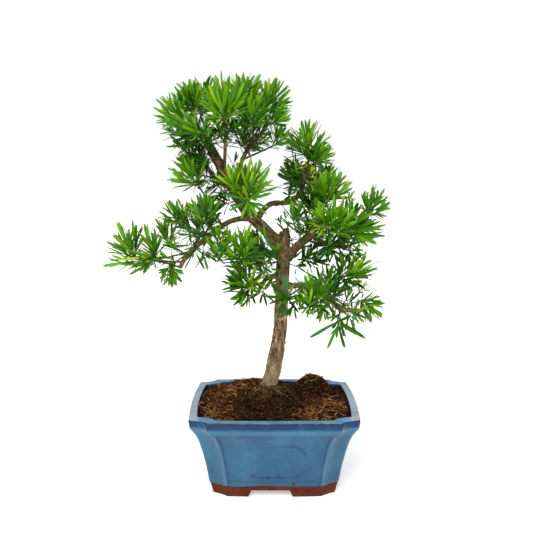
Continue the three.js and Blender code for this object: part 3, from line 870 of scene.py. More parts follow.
fibres = {
    "count": 3500,
    "matted": 0.3,
    "short": (7, 20),
    "long": (18, 40),
    "shortShare": 0.72,
    "low": (0.1, 1.9),
    "high": (1.5, 4.2),
    "lowShare": 0.8,
    "sunk": 0.5,
    "unevenness": 0.18,
    "curl": 0.5,
    "wander": 0.22,
    "thickness": (0.14, 0.4),
    # How likely straw, brown and mossy ones are, and by how much more in such a place
    "straw": (0.07, 0.27),
    "brown": (0.5, 0.3),
    "green": (0.06, 0.4),
    "darker": 0.2,
    # Where they are paler, darker or mossy: x, y and spread.
    # The darker place at (54, 30), in front of the clump, is painted shade under its steep front.
    "pale": [(54, 53, 11), (69, -18, 16), (-50, 50, 20), (-78, 0, 16), (-72, -45, 18), (46, -44, 14),
             (-62, 24, 12)],
    "dark": [(-30, -34, 24), (12, 4, 20), (-2, -52, 16), (84, 30, 10), (54, 30, 13)],
    "mossy": [(4, 28, 20)],
}
fibreTaper = np.array([0.8, 1, 1, 1, 0.9, 0.5])


def nearSpot(x, y, kind):  # 1 in the middle of one of that kind's places
    return max(math.exp(-((x - spotX) ** 2 + (y - spotY) ** 2) / (2 * spread ** 2))
               for spotX, spotY, spread in fibres[kind])


# Peat fibres lie over the whole surface, arch a little and dive back in
def buildFibres():
    random = np.random.default_rng(soil["seed"])
    lines, radii, tones = [], [], []
    while len(lines) < fibres["count"]:
        x, y = random.uniform(-90, 90), random.uniform(-66, 66)
        if random.random() < fibres["matted"]:
            middleX, middleY, spread = fibres["pale"][random.integers(len(fibres["pale"]))]
            x, y = random.normal((middleX, middleY), spread * 0.7)
        if not insideSoil(x, y):
            continue
        startX, startY = x, y
        length = random.uniform(*fibres["short" if random.random() < fibres["shortShare"] else "long"])
        heading = random.uniform(0, 2 * math.pi)
        curl = random.normal(0, fibres["curl"])
        lift = random.uniform(*fibres["low" if random.random() < fibres["lowShare"] else "high"])
        line = []
        for share in np.linspace(0, 1, len(fibreTaper)):
            arch = lift * math.sin(math.pi * share)
            height = soilTop(x, y) + arch - fibres["sunk"] + random.normal(0, fibres["unevenness"])
            line.append((x, y, height))
            heading = alongSlope(x, y, heading + curl + random.normal(0, fibres["wander"]))
            x += math.cos(heading) * length / len(fibreTaper)
            y += math.sin(heading) * length / len(fibreTaper)
        if not all(insideSoil(px, py, 1.0) for px, py, _ in line):
            continue
        paleness, darkness, mossiness = (nearSpot(startX, startY, kind) for kind in ("pale", "dark", "mossy"))
        straw, brown = (fibres[kind][0] + fibres[kind][1] * paleness for kind in ("straw", "brown"))
        lines.append(line)
        radii.append(random.uniform(*fibres["thickness"]) * fibreTaper)
        # Fibres in the darker places are more often dark; in front of the clump this is painted shade
        roll = random.random() + fibres["darker"] * darkness
        tone = 0 if roll < straw else 1 if roll < brown else 2
        tones.append(3 if random.random() < fibres["green"][0] + fibres["green"][1] * mossiness else tone)
    finishes = [plainFinish("strawFibre", (212, 162, 96), (156, 106, 52)),
                plainFinish("brownFibre", (118, 74, 34), (78, 46, 21)),
                plainFinish("darkFibre", (42, 24, 11), (20, 11, 5)),
                plainFinish("mossyFibre", (98, 92, 40), (60, 56, 24))]
    strandPiece("soilFibres", lines, np.array(radii), 3, tones, finishes)


roots = {
    "count": 54,
    "foot": (-6, 40),
    "start": (8, 12),
    "length": (18, 66),
    "thickness": (0.3, 0.85),
    "stations": 14,
    "thinning": 0.6,
    "frontSpread": 0.75,
    "wander": 0.2,
    "unevenness": 0.3,
}


# Thin roots run out from the trunk's foot over the soil, most of them to the front
def buildRoots():
    random = np.random.default_rng(soil["seed"] + 1)
    lines, radii = [], []
    footX, footY = roots["foot"]
    for number in range(roots["count"]):
        heading = random.uniform(0, 2 * math.pi) if number % 4 == 0 else (
            random.normal(0, roots["frontSpread"]) - math.pi / 2)
        length = random.uniform(*roots["length"])
        reach = random.uniform(*roots["start"])
        x, y = footX + math.cos(heading) * reach, footY + math.sin(heading) * reach
        line = []
        thick = random.uniform(*roots["thickness"])
        sunk = random.uniform(-0.6, 0.3)
        shares = np.arange(roots["stations"]) / (roots["stations"] - 1)
        for share in shares:
            rise = 1.1 * (1 - share) ** 4 - sunk + 0.5 - 1.2 * share ** 3
            line.append((x, y, soilTop(x, y) + (rise + random.normal(0, roots["unevenness"]))))
            heading += random.normal(0, roots["wander"])
            x += math.cos(heading) * length / roots["stations"]
            y += math.sin(heading) * length / roots["stations"]
        if all(insideSoil(px, py, 0.97) for px, py, _ in line):
            lines.append(line)
            radii.append(thick * (1 - roots["thinning"] * np.linspace(0, 1, roots["stations"])))
    finishes = [plainFinish("rootSkin", (108, 82, 52), (66, 46, 28), scale=200),
                plainFinish("rootPale", (190, 164, 122), (150, 120, 80), scale=200)]
    tones = [int(number == 4) for number in range(len(lines))]
    strandPiece("surfaceRoots", lines, np.array(radii), 6, tones, finishes)


crumbs = {
    "count": 1000,
    "small": (0.4, 1.5),
    "large": (1.5, 2.6),
    "smallShare": 0.9,
    "barkShare": 0.3,
}


def buildCrumbs():
    random = np.random.default_rng(soil["seed"] + 2)
    seed = bmesh.new()
    bmesh.ops.create_icosphere(seed, subdivisions=1, radius=1)
    ball = np.array([vert.co for vert in seed.verts])
    faces = [tuple(vert.index for vert in face.verts) for face in seed.faces]
    seed.free()
    copies, tones = [], []
    while len(copies) < crumbs["count"]:
        x, y = random.uniform(-90, 90), random.uniform(-66, 66)
        if not insideSoil(x, y, 0.975):
            continue
        size = random.uniform(*crumbs["small" if random.random() < crumbs["smallShare"] else "large"])
        shape = ball * random.uniform(0.55, 1.2, 3) * size + random.normal(0, 0.12, ball.shape) * size
        turn = np.array(Matrix.Rotation(random.uniform(0, 6.3), 3, unit(random.normal(0, 1, 3))))
        copies.append(shape @ turn + np.array([x, y, soilTop(x, y) + size * 0.15]))
        tones.append(int(random.random() < crumbs["barkShare"]))
    finishes = [plainFinish("darkCrumb", (36, 22, 13), (20, 12, 7)),
                plainFinish("barkCrumb", (104, 66, 40), (74, 46, 28))]
    mesh = meshFromCopies("soilCrumbs", np.array(copies), faces, np.array(tones)[:, None])
    finishPiece("soilCrumbs", mesh, finishes, sharpAngle=50)


buildSoil()
buildFibres()
buildRoots()
buildCrumbs()
print("soil: bed, fibres, roots and crumbs")


# Trunk and boughs: each row is the centre line's x, y, z and the radius there
limbs = {
    "trunk": (None, [(-5, 40, 106, 9.6), (2, 38, 141, 9.9), (8, 33, 180, 8.3),
                     (10, 27, 228, 8.1), (12, 19, 274, 8.4), (13, 18, 314, 6.2)]),
    "bough_left": ("trunk", [(9, 18, 294, 6.9), (-12, 18, 317, 6.7), (-35, 16, 340, 6.3),
                             (-55, 17, 376, 6.2), (-72, 21, 405, 5.7), (-85, 24, 428, 4.4)]),
    "crown_branch_left": ("bough_left", [(-57, 17, 374, 2.8), (-74, 14, 383, 2.6), (-87, 8, 404, 2.4),
                                         (-93, 4, 423, 2.1)]),
    "crown_branch_middle": ("bough_left", [(-62, 18, 388, 2.2), (-59, 6, 412, 1.9), (-58, -4, 434, 1.7)]),
    "crown_branch_right": ("bough_left", [(-47, 17, 362, 2.4), (-41, 22, 396, 2.3), (-35, 24, 411, 2.2),
                                          (-26, 22, 428, 1.9)]),
    "branch_right_upper": ("bough_left", [(-23, 17, 329, 3.3), (-5, 26, 347, 3.1), (20, 30, 350, 3),
                                          (34, 30, 363, 2.9), (38, 28, 392, 2.4)]),
    "arm_left": ("bough_left", [(-29, 16, 332, 3.2), (-55, 2, 327, 3), (-87, -8, 304, 2.8),
                                (-106, -10, 287, 2.7), (-114, -11, 273, 2.4)]),
    "bough_right": ("trunk", [(12, 18, 278, 5.6), (29, 14, 295, 5), (46, 10, 313, 4.1), (56, 6, 331, 3)]),
    "bough_right_outer": ("bough_right", [(45, 10, 312, 2.8), (59, 8, 302, 2.8), (76, 6, 297, 2.5),
                                          (92, 4, 296, 2.1)]),
    "branch_low_right": ("trunk", [(10, 25, 243, 3.5), (42, 6, 246, 3.2), (61, -2, 236, 3.1),
                                   (85, -9, 221, 2.8), (105, -12, 219, 2.3)]),
    "branch_low_left_upper": ("trunk", [(9, 20, 280, 3.3), (-12, -2, 290, 3.1), (-21, -8, 275, 2.5)]),
    "branch_low_left": ("trunk", [(9, 22, 256, 2.9), (-8, 6, 257, 2.7), (-21, -2, 239, 2.2)]),
}


# A limb's centre line and radius as evenly numbered samples on a centripetal curve.
def limbLine(path, perStep):
    points = np.array(path, float)[:, :3]
    radii = np.array(path, float)[:, 3]
    count = (len(path) - 1) * perStep
    line = []
    for step in range(count + 1):
        place = step / perStep
        low = min(int(place), len(path) - 2)
        share = place - low
        b, c = points[low], points[low + 1]
        a = points[low - 1] if low > 0 else 2 * b - c
        d = points[low + 2] if low + 2 < len(path) else 2 * c - b
        spans = [max(np.linalg.norm(q - p) ** 0.5, 1e-4) for p, q in ((a, b), (b, c), (c, d))]
        t1 = ((b - a) / spans[0] - (c - a) / (spans[0] + spans[1]) + (c - b) / spans[1]) * spans[1]
        t2 = ((c - b) / spans[1] - (d - b) / (spans[1] + spans[2]) + (d - c) / spans[2]) * spans[1]
        line.append(b + t1 * share + (-3 * b + 3 * c - 2 * t1 - t2) * share ** 2
                    + (2 * b - 2 * c + t1 + t2) * share ** 3)
    return np.array(line), np.interp(np.arange(count + 1) / perStep, np.arange(len(path)), radii)


# Directions square to a line, carried along it without twisting.
def carriedFrame(line):
    tangents = np.gradient(line, axis=0)
    tangents /= np.linalg.norm(tangents, axis=1)[:, None]
    across = np.array([0.0, 1, 0]) if abs(tangents[0][0]) > 0.8 else np.array([1.0, 0, 0])
    sides = []
    for tangent in tangents:
        across = unit(across - tangent * (across @ tangent))
        sides.append(across)
    sides = np.array(sides)
    return tangents, sides, np.cross(tangents, sides)


bark = {
    "perStep": 14,
    "sides": 22,
    "collar": 0.42,
    "flare": 0.03,
    "rootToes": 5,
    "voxel": 0.72,
    "plateLength": 4.2,
    "plateSize": 4.6,
    "plateLift": 0.62,
    "creviceDepth": 0.75,
    "thickness": 0.65,
    "furrow": 0.32,
    "lumps": 0.55,
    "creviceEdge": 0.21,
    "wander": 0.35,
    "fullSize": 8.5,  # from this radius on, the bark is at its full depth
    "smoothFoot": (165, 118),
    "smoothing": 0.7,
    "seed": 90,
    "stubDepth": 9,
    "stubWall": 0.62,
}

# Places on the wood that have a form of their own: centre, spread and how far it stands out.
knobs = [((24, 11, 296), 4.2, 1.7), ((6, 11, 288), 5.0, 1.4), ((15, 10, 268), 5.5, 1.2),
         ((3, 24, 250), 4, 1.1), ((18, 22, 226), 4, 0.9), ((-14, 12, 322), 5, 1.0),
         ((-33, 11, 344), 5, 1.2), ((-54, 12, 372), 5, 1.1), ((-6, 28, 134), 6, 0.7),
         ((14, 28, 158), 5, 0.8), ((1, 22, 196), 4, 0.6)]
wound = {"centre": (12.3, 201.3), "halfLength": 6.2, "halfHeight": 2.3, "slope": 0.44, "lift": 1.1,
         "hollowUp": 6.2, "hollowHeight": 3.0, "hollowDepth": 1.5}
slit = {"centre": (4.6, 272), "halfLength": 6.2, "halfHeight": 1.3, "slope": -1.75, "depth": 1.9}


def limbTube(bm, name):
    parent, path = limbs[name]
    line, radii = limbLine(path, bark["perStep"])
    if name == "trunk":  # it runs on down into the soil, and flares there
        under = [line[0] + np.array([-0.35, 0.05, -1.0]) * step * 3 for step in (3, 2, 1)]
        line = np.vstack([under, line])
        radii = np.concatenate([[radii[0] * 1.3] * 3, radii])
    if parent:
        parentLine, parentRadii = limbLine(limbs[parent][1], bark["perStep"])
        nearby = np.argmin(np.linalg.norm(parentLine - line[0], axis=1))
        beyond = np.maximum(lengthsAlong(line) - parentRadii[nearby] * 0.8, 0)
        radii = radii * (1 + bark["collar"] * hump(beyond, radii[0] * 1.7))
    tangents, sides, others = carriedFrame(line)
    angles = np.arange(bark["sides"]) / bark["sides"] * 2 * math.pi
    rows = []
    for point, radius, side, other in zip(line, radii, sides, others):
        spread = np.full(len(angles), radius)
        if name == "trunk":
            flare = bark["flare"] * math.exp(-max(point[2] - 104, 0) / 9.0)
            spread = radius * (1 + flare * (0.45 + 0.55 * np.cos(angles * bark["rootToes"] + 0.6) ** 2))
        around = np.outer(np.cos(angles) * spread, side) + np.outer(np.sin(angles) * spread, other)
        rows.append(point + around)
    if name == "trunk":  # the old top is a broken, hollow stub
        jag = np.array([noise.noise(Vector((math.cos(a) * 1.6, math.sin(a) * 1.6, 3.3))) for a in angles])
        rise = 1.6 + jag * 4.2 + np.cos(angles) * 2.4
        rows.append(point + around * 0.96 + rise[:, None] * upward)
        rows.append(point + around * bark["stubWall"] + (rise * 0.9)[:, None] * upward)
        rows.append(point + around * bark["stubWall"] * 0.75 - bark["stubDepth"] * upward)
    else:
        rows.append(point + tangents[-1] * radii[-1] * 0.6 + around * 0.5)
    skinRows(bm, rows)


# One closed skin over all the limbs, fine enough to carry the bark's plates.
def woodSkin():
    bm = bmesh.new()
    for name in limbs:
        limbTube(bm, name)
    skin = linked("woodSkin", meshFromBmesh("woodSkin", bm))
    remesh = skin.modifiers.new("skin", "REMESH")
    remesh.mode = "VOXEL"
    remesh.voxel_size = bark["voxel"] * mm
    smooth = skin.modifiers.new("smooth", "SMOOTH")
    smooth.factor = 0.5
    smooth.iterations = 3
    applyModifiers(skin)
    mesh = skin.data
    bpy.data.objects.remove(skin)
    return mesh


# Each point's place on its nearest limb: the two ways across, the way along and the radius.
def flowAlongLimbs(points):
    samples = []
    for number, (name, (_, path)) in enumerate(limbs.items()):
        line, lineRadii = limbLine(path, 12)
        if name == "trunk":
            line = np.vstack([line[0] + np.array([-2, 0.3, -6.0]), line])
            lineRadii = np.concatenate([lineRadii[:1], lineRadii])
        samples.append((line, *carriedFrame(line), lineRadii, lengthsAlong(line) + number * 311))
    centres, tangents, sides, others, radii, along = (np.concatenate(rows) for rows in zip(*samples))
    nearest = np.concatenate([
        np.argmin(np.linalg.norm(part[:, None] - centres[None], axis=2) - radii[None], axis=1)
        for part in np.array_split(points, 20)])  # in parts, to spare memory
    offset = points - centres[nearest]
    u, v, s = (np.sum(offset * way[nearest], axis=1) for way in (sides, others, tangents))
    return np.column_stack([u, v, along[nearest] + s]), radii[nearest]


def slopedPlace(points, centre, slope):  # across and up within a mark that leans by its slope
    lean = math.atan(slope)
    x, z = points[:, 0] - centre[0], points[:, 2] - centre[1]
    return x * math.cos(lean) + z * math.sin(lean), -x * math.sin(lean) + z * math.cos(lean)


def softEdged(values, half):  # 1 within a half size either way, 0 beyond it
    return smoothStep(half + 0.5, half - 0.5, np.abs(values))


def shapeBark(mesh):
    points = pointsOf(mesh) / mm - potMiddle
    normals = pointsOf(mesh, "normal")
    flow, thickness = flowAlongLimbs(points)
    push, plates, crevices = np.zeros((3, len(points)))
    noise.seed_set(bark["seed"])  # without it, noise_vector follows the clock
    for index in range(len(points)):
        u, v, s = flow[index]
        size = thickness[index]
        strength = min(size / bark["fullSize"], 1.1)
        lowPart = smoothStep(*bark["smoothFoot"], points[index][2]) * (size > 8)
        worn = float(noise.noise(Vector((u, v, s)) * 0.05) > -0.25)
        rough = 1 - bark["smoothing"] * lowPart * worn
        cell = bark["plateSize"] * (0.45 + 0.55 * strength)
        spot = Vector((u / cell, v / cell, s / (cell * bark["plateLength"])))
        wander = noise.noise_vector(spot * 1.7) * bark["wander"]
        distances, centres = noise.voronoi(spot + wander)
        edge = distances[1] - distances[0]
        crevice = max(0.0, 1 - edge / bark["creviceEdge"]) ** 1.3 * rough
        tone = noise.cell(centres[0] * 37.1)
        streak = noise.noise(Vector((u * 0.9, v * 0.9, s * 0.12)))
        lump = noise.noise(Vector((u * 0.11, v * 0.11, s * 0.05)))
        push[index] = (bark["plateLift"] * (tone - 0.5) * rough * strength
                       - bark["creviceDepth"] * crevice * strength
                       + bark["furrow"] * streak * (0.35 + 0.65 * strength)
                       + bark["lumps"] * lump * strength * 1.6
                       + bark["thickness"] * min(size / 4, 1))
        plates[index] = tone
        crevices[index] = crevice
    for centre, spread, height in knobs:
        near = np.exp(-np.sum((points - np.array(centre)) ** 2, axis=1) / spread ** 2)
        push += near * height * (0.6 + 0.4 * plates)
    inFront = (normals[:, 1] < -0.1) & (thickness > 7.2)
    across, up = slopedPlace(points, wound["centre"], wound["slope"])
    cut = inFront * softEdged(across, wound["halfLength"]) * softEdged(up, wound["halfHeight"])
    sideways = across / (wound["halfLength"] * 0.8)
    hollow = inFront * np.exp(-sideways ** 2 - ((up - wound["hollowUp"]) / wound["hollowHeight"]) ** 2)
    push = push * (1 - cut) + cut * wound["lift"] - hollow * wound["hollowDepth"]
    along, off = slopedPlace(points, slit["centre"], slit["slope"])
    ended = smoothStep(slit["halfLength"], slit["halfLength"] - 3, np.abs(along))
    gash = inFront * ended * hump(off, slit["halfHeight"])
    push -= gash * slit["depth"]
    # The crevices, the hollow above the wound and the slit are painted dark as well as cut in: the bark's
    # darker crevice colour with painted shade in these recesses. The inside of the broken stub is darkened
    # too.
    crevices = np.clip(crevices + hollow * 1.1 + gash * 1.6, 0, 1) * (1 - cut)
    fromStub = np.hypot(points[:, 0] - 13, points[:, 1] - 18)
    stubInside = smoothStep(5.6, 4.4, fromStub) * smoothStep(303, 306, points[:, 2])
    moved = points + normals * push[:, None]
    mesh.vertices.foreach_set("co", toRow(moved).ravel())
    markPoints(mesh, plate=plates, crevice=np.clip(crevices + stubInside, 0, 1), cutWood=cut)
    layer = mesh.attributes.new("barkFlow", "FLOAT_VECTOR", "POINT")
    layer.data.foreach_set("vector", (flow * mm).ravel().astype(np.float32))
    mesh.update()


def barkFinish():
    finish = Finish("flakingBark", 0.9, specular=0.1)
    flow = finish.attribute("barkFlow", "Vector")
    grain = finish.stretched(flow, 0.22)
    place = finish.objectPlace()
    up = finish.heightOf(place)
    finish.base = finish.blend(finish.patch(grain, 260, 0.32, 0.66), (198, 168, 130), (140, 110, 78))
    pink = finish.times(finish.patch(finish.stretched(flow, 0.4), 70, 0.5, 0.62, 3),
                        finish.within(finish.attribute("plate"), 0.25, 0.6))
    finish.tint(pink, (204, 154, 124), 0.75)
    finish.tint(finish.patch(finish.stretched(flow, 0.35), 110, 0.46, 0.58, 5), (122, 112, 66), 0.8)
    finish.tint(finish.patch(grain, 420, 0.55, 0.68, 3), (172, 156, 134), 0.55)
    finish.tint(finish.patch(grain, 900, 0.56, 0.66, 3), (66, 46, 28), 0.75)
    # Crevices and hollows painted dark brown: painted shade in the recesses
    finish.tint(finish.attribute("crevice"), (42, 29, 18), 0.95)
    # The trunk is painted darker from 200 mm up towards the crown: painted shade under the foliage
    finish.tint(finish.within(up, 0.2, 0.31), (84, 68, 42), 0.42)
    nearSoil = finish.times(finish.within(up, 0.116, 0.108), finish.patch(place, 160, 0.35, 0.6, 3))
    finish.tint(nearSoil, (96, 98, 48), 0.3)
    peeled = finish.patch(finish.stretched(flow, 0.3), 90, 0.38, 0.58, 3)
    finish.tint(finish.times(finish.within(up, 0.17, 0.13), peeled), (214, 178, 152), 0.38)
    fresh = finish.blend(finish.patch(grain, 500, 0.35, 0.65, 2), (204, 172, 138), (168, 132, 98))
    finish.tint(finish.attribute("cutWood"), fresh)
    finish.useBase()
    finish.relief(finish.patch(grain, 800, 0.25, 0.75), 0.0004, 0.7)
    return finish.material


flakes = {
    "count": 72,
    "seed": 90,
    "length": (2.2, 6.0),
    "width": (1.0, 2.8),
    "lift": (0.3, 1.5),
    "thickness": 0.28,
    "onBough": 0.28,
    # The four that show most: middle and length
    "seen": [((-3.8, 26, 171), 4.0), ((-4.2, 28, 153), 3.4), ((16.2, 29, 170), 4.4), ((-14.6, 34, 122), 4.2)],
    "seenWidth": 2.4,
    "seenLift": 2.1,
}


# Thin flakes that have lifted off the trunk at one end: small bent plates
def buildFlakes():
    random = np.random.default_rng(flakes["seed"])
    onTrunk, onBough = (limbLine(limbs[name][1], 12) for name in ("trunk", "bough_left"))
    onTrunk, onBough = ((line, radii, *carriedFrame(line)) for line, radii in (onTrunk, onBough))
    plates, tones = [], []

    def flake(centre, run, out, length, width, lift):
        side = unit(np.cross(run, out))
        rows = []
        for share in (0, 0.35, 0.7, 1):
            rise = 0.15 + lift * share ** 1.8
            half = width / 2 * (0.75, 1.0, 0.9, 0.35)[int(share * 3)]
            middle = centre - run * length * share + out * rise
            for offset, droop in ((-1, -0.25), (0, 0.0), (1, -0.25)):
                for thick in (0.0, -flakes["thickness"]):
                    rows.append(middle + side * half * offset + out * (droop + thick))
        plates.append(rows)

    line, radii, tangents, _, _ = onTrunk
    for centre, length in flakes["seen"]:
        nearest = np.argmin(np.linalg.norm(line - centre, axis=1))
        out = unit(np.array(centre, float) - line[nearest])
        root = line[nearest] + out * (radii[nearest] + 0.4)
        flake(root, tangents[nearest], out, length, flakes["seenWidth"], flakes["seenLift"])
        tones.append(1)
    while len(plates) < flakes["count"]:
        line, radii, tangents, sides, others = onBough if random.random() < flakes["onBough"] else onTrunk
        index = random.integers(6, len(line) - 8)
        turn = random.uniform(0, 2 * math.pi)
        out = sides[index] * math.cos(turn) + others[index] * math.sin(turn)
        run = unit(tangents[index] * (1 if random.random() < 0.6 else -1) + random.normal(0, 0.12, 3))
        run = unit(run - out * (run @ out))
        length, width, lift = (random.uniform(*flakes[kind]) for kind in ("length", "width", "lift"))
        flake(line[index] + out * (radii[index] + 0.35), run, out, length, width, lift)
        tones.append(int(random.random() < 0.5))
    faces = []
    for row in range(3):
        a = row * 6
        for top in (0, 2):
            faces.append((a + top, a + top + 2, a + top + 8, a + top + 6))
            faces.append((a + top + 1, a + top + 7, a + top + 9, a + top + 3))
        faces.append((a, a + 6, a + 7, a + 1))
        faces.append((a + 4, a + 5, a + 11, a + 10))
    for a in (0, 18):
        ends = [(a, a + 1, a + 3, a + 2), (a + 2, a + 3, a + 5, a + 4)]
        faces += ends if a == 0 else [face[::-1] for face in ends]
    finishes = [plainFinish("flakePale", (150, 128, 100), (112, 92, 68), scale=400),
                plainFinish("flakeDark", (96, 76, 56), (66, 50, 36), scale=400)]
    mesh = meshFromCopies("barkFlakes", np.array(plates), faces, np.array(tones)[:, None])
    finishPiece("barkFlakes", mesh, finishes, sharpAngle=60)


def buildWood():
    mesh = woodSkin()
    shapeBark(mesh)
    finishPiece("trunkAndBoughs", mesh, [barkFinish()], list(limbs), sharpAngle=80)


buildWood()
buildFlakes()
print("wood: trunk, boughs and flakes")


# Foliage: the limb that each mass's stem leaves, the centre and half sizes of its space,
# how many shoots it has, its tone (dark behind, under and inside, bright for some on top and in front:
# painted shade and light) and, for most, the way it opens from its bud
masses = {
    "crown_left_low": ("crown_branch_left", (-120, 2, 458), (24, 26, 20), 6, "green", (-0.6, -0.2, 0.7)),
    "crown_left_top": ("crown_branch_left", (-100, 14, 474), (22, 26, 20), 6, "green", (-0.1, 0, 1)),
    "crown_left_front": ("crown_branch_left", (-104, -22, 435), (30, 24, 21), 5, "green", (-0.9, -0.3, 0.1)),
    "crown_under": ("crown_branch_left", (-99, 16, 405), (21, 22, 29), 4, "dark", (-0.5, 0, 0.8)),
    "crown_middle_front": ("crown_branch_middle", (-57, -28, 470), (26, 28, 31), 10, "bright", (0, -0.2, 1)),
    "crown_back_left": ("bough_left", (-94, 56, 480), (30, 30, 28), 8, "green"),
    "crown_right_top": ("crown_branch_right", (-2, 20, 475), (23, 27, 22), 6, "green", (0.5, 0, 0.8)),
    "crown_top": ("crown_branch_right", (-34, 22, 485), (22, 27, 23), 7, "bright", (0.2, 0, 1)),
    "crown_right_front": ("crown_branch_right", (-22, -10, 456), (22, 24, 23), 5, "green", (0.4, -0.1, 0.9)),
    "crown_right_end": ("crown_branch_right", (2, -4, 452), (16, 22, 16), 4, "green", (0.7, 0, 0.6)),
    "crown_right_twig": ("crown_branch_right", (3, 10, 430), (16, 18, 16), 3, "green", (0.4, 0, 0.9)),
    "crown_back_right": ("bough_left", (-28, 68, 473), (33, 30, 28), 8, "dark"),
    "under_crown_left": ("arm_left", (-102, 4, 388), (27, 26, 22), 6, "green", (-0.5, 0, 0.8)),
    "middle_front": ("bough_left", (-33, -24, 377), (35, 26, 27), 11, "bright", (0.2, -0.4, 0.9)),
    "middle_low_front": ("bough_left", (-30, -50, 355), (27, 22, 18), 4, "green", (0.2, -0.9, -0.3)),
    "arm_top_inner": ("arm_left", (-83, -16, 344), (21, 24, 20), 5, "green", (-0.1, 0, 1)),
    "arm_top_outer": ("arm_left", (-120, 8, 335), (19, 22, 20), 5, "green", (-0.6, 0, 0.75)),
    "arm_root": ("arm_left", (-66, -30, 302), (24, 24, 22), 7, "green", (0, -0.3, 0.9)),
    "arm_back": ("arm_left", (-95, 44, 323), (31, 28, 26), 5, "dark"),
    "arm_outer_top": ("arm_left", (-135, 14, 312), (17, 20, 21), 4, "green", (-0.2, 0, 1)),
    "arm_tip": ("arm_left", (-179, -6, 302), (27, 24, 27), 6, "green", (-0.45, 0, 0.85)),
    "arm_tip_low": ("arm_left", (-168, -24, 282), (33, 24, 13), 4, "green", (-1, -0.2, -0.1)),
    "arm_outer_middle": ("arm_left", (-149, -14, 302), (16, 22, 26), 4, "green", (-0.2, -0.2, 0.9)),
    "arm_hanging": ("arm_left", (-124, -16, 265), (14, 16, 14), 4, "green", (0.1, -0.3, -1)),
    "low_left_top": ("branch_low_left_upper", (-37, -28, 300), (31, 26, 25), 7, "green", (0.1, -0.3, 0.95)),
    "low_left_bottom": ("branch_low_left", (-38, -16, 255), (25, 24, 28), 7, "green", (-0.3, -0.5, 0.2)),
    "low_left_back": ("trunk", (-25, 54, 284), (29, 28, 26), 5, "dark"),
    "right_top": ("branch_right_upper", (42, 28, 425), (30, 27, 25), 7, "green", (0, 0, 1)),
    "right_top_outer": ("branch_right_upper", (57, 18, 407), (16, 22, 16), 5, "green", (0.6, 0, 0.7)),
    "right_dark": ("branch_right_upper", (25, 40, 382), (18, 23, 20), 5, "dark"),
    "right_back_top": ("branch_right_upper", (58, 76, 378), (29, 28, 26), 8, "dark"),
    "right_upper": ("bough_right", (69, -4, 369), (22, 25, 22), 7, "green", (0.4, 0, 0.9)),
    "right_core": ("bough_right", (49, 22, 358), (21, 20, 25), 9, "dark"),
    "right_front": ("bough_right", (69, -30, 334), (27, 25, 27), 8, "green", (0.1, -0.5, 0.7)),
    "right_twig": ("bough_right", (23, 4, 337), (16, 18, 17), 3, "green", (-0.1, 0, 1)),
    "right_outer_top": ("bough_right_outer", (121, -6, 349), (16, 24, 21), 6, "green", (0.5, 0, 0.8)),
    "right_outer_low": ("bough_right_outer", (110, -14, 320), (25, 24, 20), 5, "green", (1, -0.1, 0)),
    "right_back": ("bough_right_outer", (101, 48, 327), (25, 28, 24), 5, "dark"),
    "low_right_inner": ("bough_right", (53, 8, 286), (25, 22, 20), 5, "dark", (0.5, -0.2, 0.2)),
    "low_right_upper": ("branch_low_right", (101, -8, 270), (34, 26, 24), 7, "green", (0.7, -0.2, 0.4)),
    "low_right_tip": ("branch_low_right", (117, -16, 225), (16, 20, 17), 4, "green", (0.5, -0.2, -0.4)),
    "hanging_whorl": ("branch_low_right", (75, -40, 210), (34, 26, 28), 2, "dark", (-0.1, -0.75, -0.5)),
    "low_right_middle": ("branch_low_right", (45, -34, 247), (26, 24, 26), 6, "green", (0.1, -0.3, 0.9)),
    "low_right_front": ("branch_low_right", (14, -34, 241), (22, 22, 26), 5, "dark", (-0.3, -0.8, 0.1)),
    "low_right_back": ("branch_low_right", (74, 44, 242), (31, 28, 29), 5, "dark"),
}
# One open whorl in place of a mass: how many leaves, and their length
openStars = {"middle_low_front": (17, 35), "low_right_front": (17, 34), "hanging_whorl": (12, 46)}
smallLeaved = ("arm_root", "low_right_inner", "right_core")

# Small-leaved twigs along the inner limbs: their piece, the stretch of the limb they stand on, how many
innerTwigs = {
    "bough_left": ("crownLeaves", (0.4, 0.62), 8),
    "crown_branch_left": ("crownLeaves", (0.45, 1), 16),
    "crown_branch_middle": ("crownLeaves", (0.5, 1), 12),
    "crown_branch_right": ("crownLeaves", (0.55, 1), 13),
    "arm_left": ("armLeaves", (0.3, 0.62), 10),
    "branch_low_left": ("lowLeftLeaves", (0.2, 0.8), 4),
    "branch_low_left_upper": ("lowLeftLeaves", (0.25, 1), 11),
    "branch_right_upper": ("rightLeaves", (0.35, 1), 13),
    "bough_right": ("rightLeaves", (0.35, 1), 20),
    "bough_right_outer": ("rightLeaves", (0.3, 1), 20),
    "branch_low_right": ("lowRightLeaves", (0.25, 0.85), 15),
}

